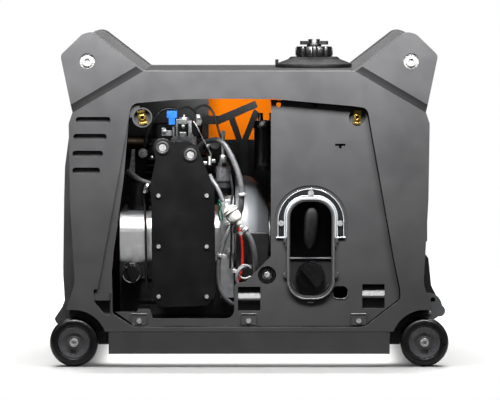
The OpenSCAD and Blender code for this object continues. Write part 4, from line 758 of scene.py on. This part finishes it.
def add_small_pieces():
    """Bolts and grommets on the engine, the bolt in the panel, and the throttle's link and spring."""
    panel_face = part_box("inner_panel")[0].y / MM + 3.0
    dial = middle("choke_dial")
    hole = (27.8, panel_face + 9.0, dial.z + 3.5)
    hex_bolt("recoil_bolt", hole, 5.0, "machine", zinc_flake)
    sleeve = [(9.2, -6.5), (13.2, -6.5), (13.8, -5.8), (13.8, 6), (9.2, 6)]
    turned("recoil_bolt_sleeve", sleeve, hole, (0, 1, 0), black_pbt, "machine")
    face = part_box("air_cleaner_cover")[0].y / MM
    for i, (x, z) in enumerate(CLEANER_BOLTS):
        grommet = [(6.2, 0.6), (6.4, -0.8), (7.4, -1.7), (9.2, -1.7), (10.2, -0.8), (10.4, 0.6)]
        turned("cleaner_grommet_" + str(i + 1), grommet, (x, face, z), (0, 1, 0), mount_rubber, "machine")
    spots = [(-33.5, -160, 216), (-31.0, -160, 173), (-168, -140, 330), (-54, -140, 344)]
    for i, spot in enumerate(spots):
        hex_bolt("case_bolt_" + str(i + 1), spot, 4.2, "machine", zinc_steel)
    link = [(-88, -150, 381), (-82, -152, 372), (-72, -153, 352), (-62, -153, 333), (-60, -152, 326)]
    swept("throttle_link", smooth_route(link), 0.9, zinc_steel, "machine")
    coil = [(-62 + 2.4 * math.cos(a), -151 + 2.4 * math.sin(a), 326 - 0.32 * a) for a in
            [math.tau * k / 14 for k in range(14 * 7)]]
    swept("throttle_spring", coil, 0.5, zinc_steel, "machine")


add_small_pieces()


# ---- screw tabs, grommets and bay details ----

def add_tabs():
    """The moulded lip round each screw tab at the foot of the panel, and over each a pale brow that is a painted
    highlight.
    """
    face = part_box("inner_panel")[0].y / MM
    low, high = (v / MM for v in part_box("small_screws"))
    z = low.z + 3.9
    for i, x in enumerate([low.x + 3.9, (low.x + high.x) / 2, high.x - 3.9]):
        outline = [(x - 11.6, z + 10.6)] + arc(x - 8.4, z - 2.2, 3.2, 180, 270, 6)
        outline += arc(x + 8.4, z - 2.2, 3.2, 270, 360, 6) + [(x + 11.6, z + 10.6)]
        lip = [(px, face + 0.1, pz) for px, pz in outline]
        brow = [(x - 11.8, face - 0.1, z + 11), (x + 11.8, face - 0.1, z + 11)]
        swept("tab_lip_" + str(i + 1), lip, 0.5, panel_abs, "machine")
        swept("tab_brow_" + str(i + 1), brow, 0.9, rim_abs_painted_highlight, "machine")


def add_slot_lip():
    """The moulded lip under the panel's small slot, in a paler plastic: a painted highlight."""
    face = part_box("inner_panel")[0].y / MM + 2.7
    lip = [(130, 117)] + arc(138.2, 114.6, 8.2, 180, 270, 8)
    lip += arc(145.6, 114.6, 8.2, 270, 360, 8) + [(153.8, 117)]
    swept("slot_lip", [(x, face, z) for x, z in lip], 0.7, rim_abs_painted_highlight, "machine")


def add_cleaner_ears():
    """The round ears of the air cleaner's cover, one round each of its two bolts."""
    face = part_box("air_cleaner_cover")[0].y / MM
    for i, (x, z) in enumerate(CLEANER_BOLTS):
        rounded = [(8.6, -0.1), (13.4, -0.1), (14.4, 0.3), (14.9, 1.2), (14.9, 6.0), (8.6, 6.0)]
        turned("cleaner_ear_" + str(i + 1), rounded, (x, face, z), (0, 1, 0), black_abs, "machine")


# A name, an XZ outline, its front and back Y, its rounding and its material. The places are given.
# No real part is known for two black sheets, the one over the shroud and the one behind the engine: they are
# painted shade that keeps the bay behind the engine dark.
BAY_PLATES = [
    ("side_plate", [(-45.5, 103), (-24.5, 103), (-24.5, 228), (-30, 258), (-45.5, 258)],
     -160, -156.6, 0.8, bare_casting),
    # painted shade: a black sheet over the lower part of the shroud
    ("shade_sheet_shroud", [(-21, 128), (8, 128), (30, 152), (30, 206), (-21, 206)],
     -166, -163, 1.0, black_paint),
    # painted shade: a black sheet behind the engine
    ("shade_sheet_back", [(-206, 236), (-150, 236), (-150, 372), (-206, 372)],
     62, 63.5, 0.6, black_paint),
    ("coil_bracket", [(-190.5, 299), (-181, 299), (-181, 335), (-186, 335)],
     -122, -120.5, 0.4, zinc_steel),
    ("motor_frame_left", [(-115.2, 357), (-112.4, 357), (-112.4, 384), (-115.2, 384)],
     -141, -134.8, 0.4, zinc_steel),
    ("motor_frame_top", [(-112.4, 376), (-97, 376), (-97, 384), (-112.4, 384)],
     -140, -134.8, 0.6, zinc_steel),
    ("motor_face", [(-112, 357), (-96, 357), (-96, 377), (-112, 377)],
     -139, -134.8, 0.8, black_pbt),
    ("motor_foot", [(-110, 355.5), (-99, 355.5), (-99, 363.5), (-110, 363.5)],
     -141.5, -138, 1.0, zinc_steel),
    ("throttle_lever", [(-94.5, 364), (-90.5, 364), (-84.5, 350), (-84.5, 343), (-88.5, 343), (-90.8, 352)],
     -146, -143.6, 0.6, zinc_steel),
    ("linkage_bracket", [(-83.5, 374), (-76, 374), (-74.5, 380), (-77.5, 391.5), (-83.5, 391.5)],
     -142, -139.6, 0.6, zinc_steel),
    ("choke_bracket", [(-138, 357.5), (-122, 357.5), (-122, 366), (-130, 366), (-132.5, 370), (-138, 370)],
     -143, -140.4, 0.6, bare_casting),
]


def add_bay_details():
    """Plates, levers and brackets round the carburettor and beside the crankcase."""
    for name, outline, y0, y1, edge, material in BAY_PLATES:
        plate(name, outline, y0, y1, edge, material, "machine")
    domed = [(0, -1.4), (1.6, -1.3), (2.8, -0.6), (3.1, 0.4), (3.1, 1.2), (0, 1.2)]
    spots = [(-79.5, -143.5, 386), (-133.5, -144.5, 364), (-153, -141, 322.5), (-104, -139.5, 372)]
    for i, spot in enumerate(spots):
        turned("bay_screw_" + str(i + 1), domed, spot, (0, 1, 0), zinc_steel, "machine", closed=False)
    for i, (x, z) in enumerate([(-69.5, 314.5), (-65, 342), (-56, 318)]):
        clip = [(x - 3, z - 2.6), (x + 3, z - 2.6), (x + 3, z + 2.6), (x - 3, z + 2.6)]
        plate("bay_clip_" + str(i + 1), clip, -150, -147.4, 0.7, zinc_steel, "machine")
    swept("valve_rod", [(-41, -158, z) for z in (316, 330, 345, 358)], 2.6, zinc_steel, "machine")
    turned("valve_collar", [(2.6, -6), (4.6, -6), (5.2, -5), (5.2, 5), (4.6, 6), (2.6, 6)], (-41, -158, 322),
           (0, 0, 1), zinc_steel, "machine")
    low, high = (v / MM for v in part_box("oil_cap"))
    x = (low.x + high.x) / 2
    z = low.z + 13.3
    # painted highlight: a pale crescent along the oil cap's lower edge
    crescent = [(px, low.y + 2.4, pz) for px, pz in arc(x, z, 13.4, 188, 352, 24)]
    swept("oil_cap_rim", crescent, 1.1, rim_abs_painted_highlight, "machine")
    loop = [(-1, -176, 118), (-11, -186, 121), (-19, -190, 131), (-19, -190, 143), (-10, -186, 153),
            (3, -178, 154)]
    swept("loop_hose", smooth_route(loop), 2.6, hose_rubber, "machine")


add_tabs()
add_slot_lip()
add_cleaner_ears()
add_bay_details()


# ---- room ----

def add_room():
    """A pale paper floor, and a surround, white to the camera, that lights softly from overhead."""
    mesh = bpy.data.meshes.new("floor")
    made = bmesh.new()
    corners = [(-1.6, -0.3, 0), (1.6, -0.3, 0), (1.6, 1.5, 0), (-1.6, 1.5, 0)]
    made.faces.new([made.verts.new(corner) for corner in corners])
    made.to_mesh(mesh)
    made.free()
    floor = bpy.data.objects.new("floor", mesh)
    bpy.context.scene.collection.objects.link(floor)
    material, tree, shader, place = start("matt_paper", Roughness=0.9)
    cloud = add(tree, "TexNoise", {"Scale": per_mm(400.0), "Detail": 3.0}, {"Vector": place}).outputs["Fac"]
    paper = add(tree, "Mix", {6: colour("#fafaf9"), 7: colour("#fdfdfc")}, {0: cloud}, data_type="RGBA")
    tree.links.new(paper.outputs[2], shader.inputs["Base Color"])
    mesh.materials.append(material)

    world = bpy.data.worlds.new("studio")
    world.use_nodes = True
    tree = world.node_tree
    back = tree.nodes["Background"]
    back.inputs["Color"].default_value = (1, 1, 1, 1)
    around = add(tree, "TexCoord").outputs["Generated"]
    height = add(tree, "SeparateXYZ", links={"Vector": around}).outputs["Z"]
    overhead = add(tree, "MapRange", {"From Min": 0.3, "From Max": 0.95, "To Min": 0.01, "To Max": 0.3},
                   {"Value": height}).outputs["Result"]
    seen = add(tree, "LightPath").outputs["Is Camera Ray"]
    shown = add(tree, "Math", links={0: seen, 1: overhead}, operation="MAXIMUM").outputs[0]
    tree.links.new(shown, back.inputs["Strength"])
    bpy.context.scene.world = world
    bpy.context.scene.view_settings.view_transform = "Standard"
    return floor


def add_light(name, place, target, size, power, angle=180, things=(), link="EXCLUDE"):
    """A rectangular softbox. A smaller angle narrows its beam; it can leave out, or keep to, some things."""
    data = bpy.data.lights.new(name, "AREA")
    data.shape = "RECTANGLE"
    data.size, data.size_y = size
    data.energy = power
    data.spread = math.radians(angle)
    light = bpy.data.objects.new(name, data)
    light.location = place
    light.rotation_euler = (Vector(target) - Vector(place)).to_track_quat("-Z", "Y").to_euler()
    light.visible_camera = False
    bpy.context.scene.collection.objects.link(light)
    if things:
        flag = bpy.data.collections.new(name + "_flag")
        light.light_linking.receiver_collection = flag
        for thing in things:
            flag.objects.link(thing)
        for linked in flag.collection_objects:
            linked.light_linking.link_state = link


# The lights that leave out the floor do so because it would throw their light back up at the body. The key light
# leaves out the deck too, which it would burn out. The three lamps stand for nothing real: they lift the underside,
# the crown of the engine and the back of the bay.
floor = add_room()
add_light("key_softbox", (0.0, -0.52, 0.82), (0, -0.2, 0.46), (1.0, 0.16), 15, 95,
          (floor, nodes["top_cover"]))
add_light("left_softbox", (-1.7, -1.1, 0.9), (0, 0, 0.3), (0.4, 1.0), 2.8, things=(floor,))
add_light("right_softbox", (1.7, -1.1, 0.9), (0, 0, 0.3), (0.4, 1.0), 2.8, things=(floor,))
add_light("front_softbox", (0.0, -5.0, 0.3), (0, 0, 0.3), (1.8, 0.9), 1.0, things=(floor,))
add_light("back_softbox", (0.0, 1.2, 2.2), (0, 0.4, 0.0), (2.6, 1.2), 70)
add_light("floor_softbox", (0.0, -0.2, 1.7), (0, -0.1, 0.0), (2.4, 1.0), 30, things=(floor,), link="INCLUDE")
add_light("under_lamp", (0.0, 0.0, 0.019), (0, 0, -1), (0.46, 0.34), 0.8)
add_light("crown_lamp", (-0.095, -0.188, 0.41), (-0.09, -0.13, 0.36), (0.16, 0.012), 0.07, 140)
add_light("bay_lamp", (-0.04, 0.02, 0.445), (0.0, 0.21, 0.37), (0.16, 0.02), 0.16, 110)
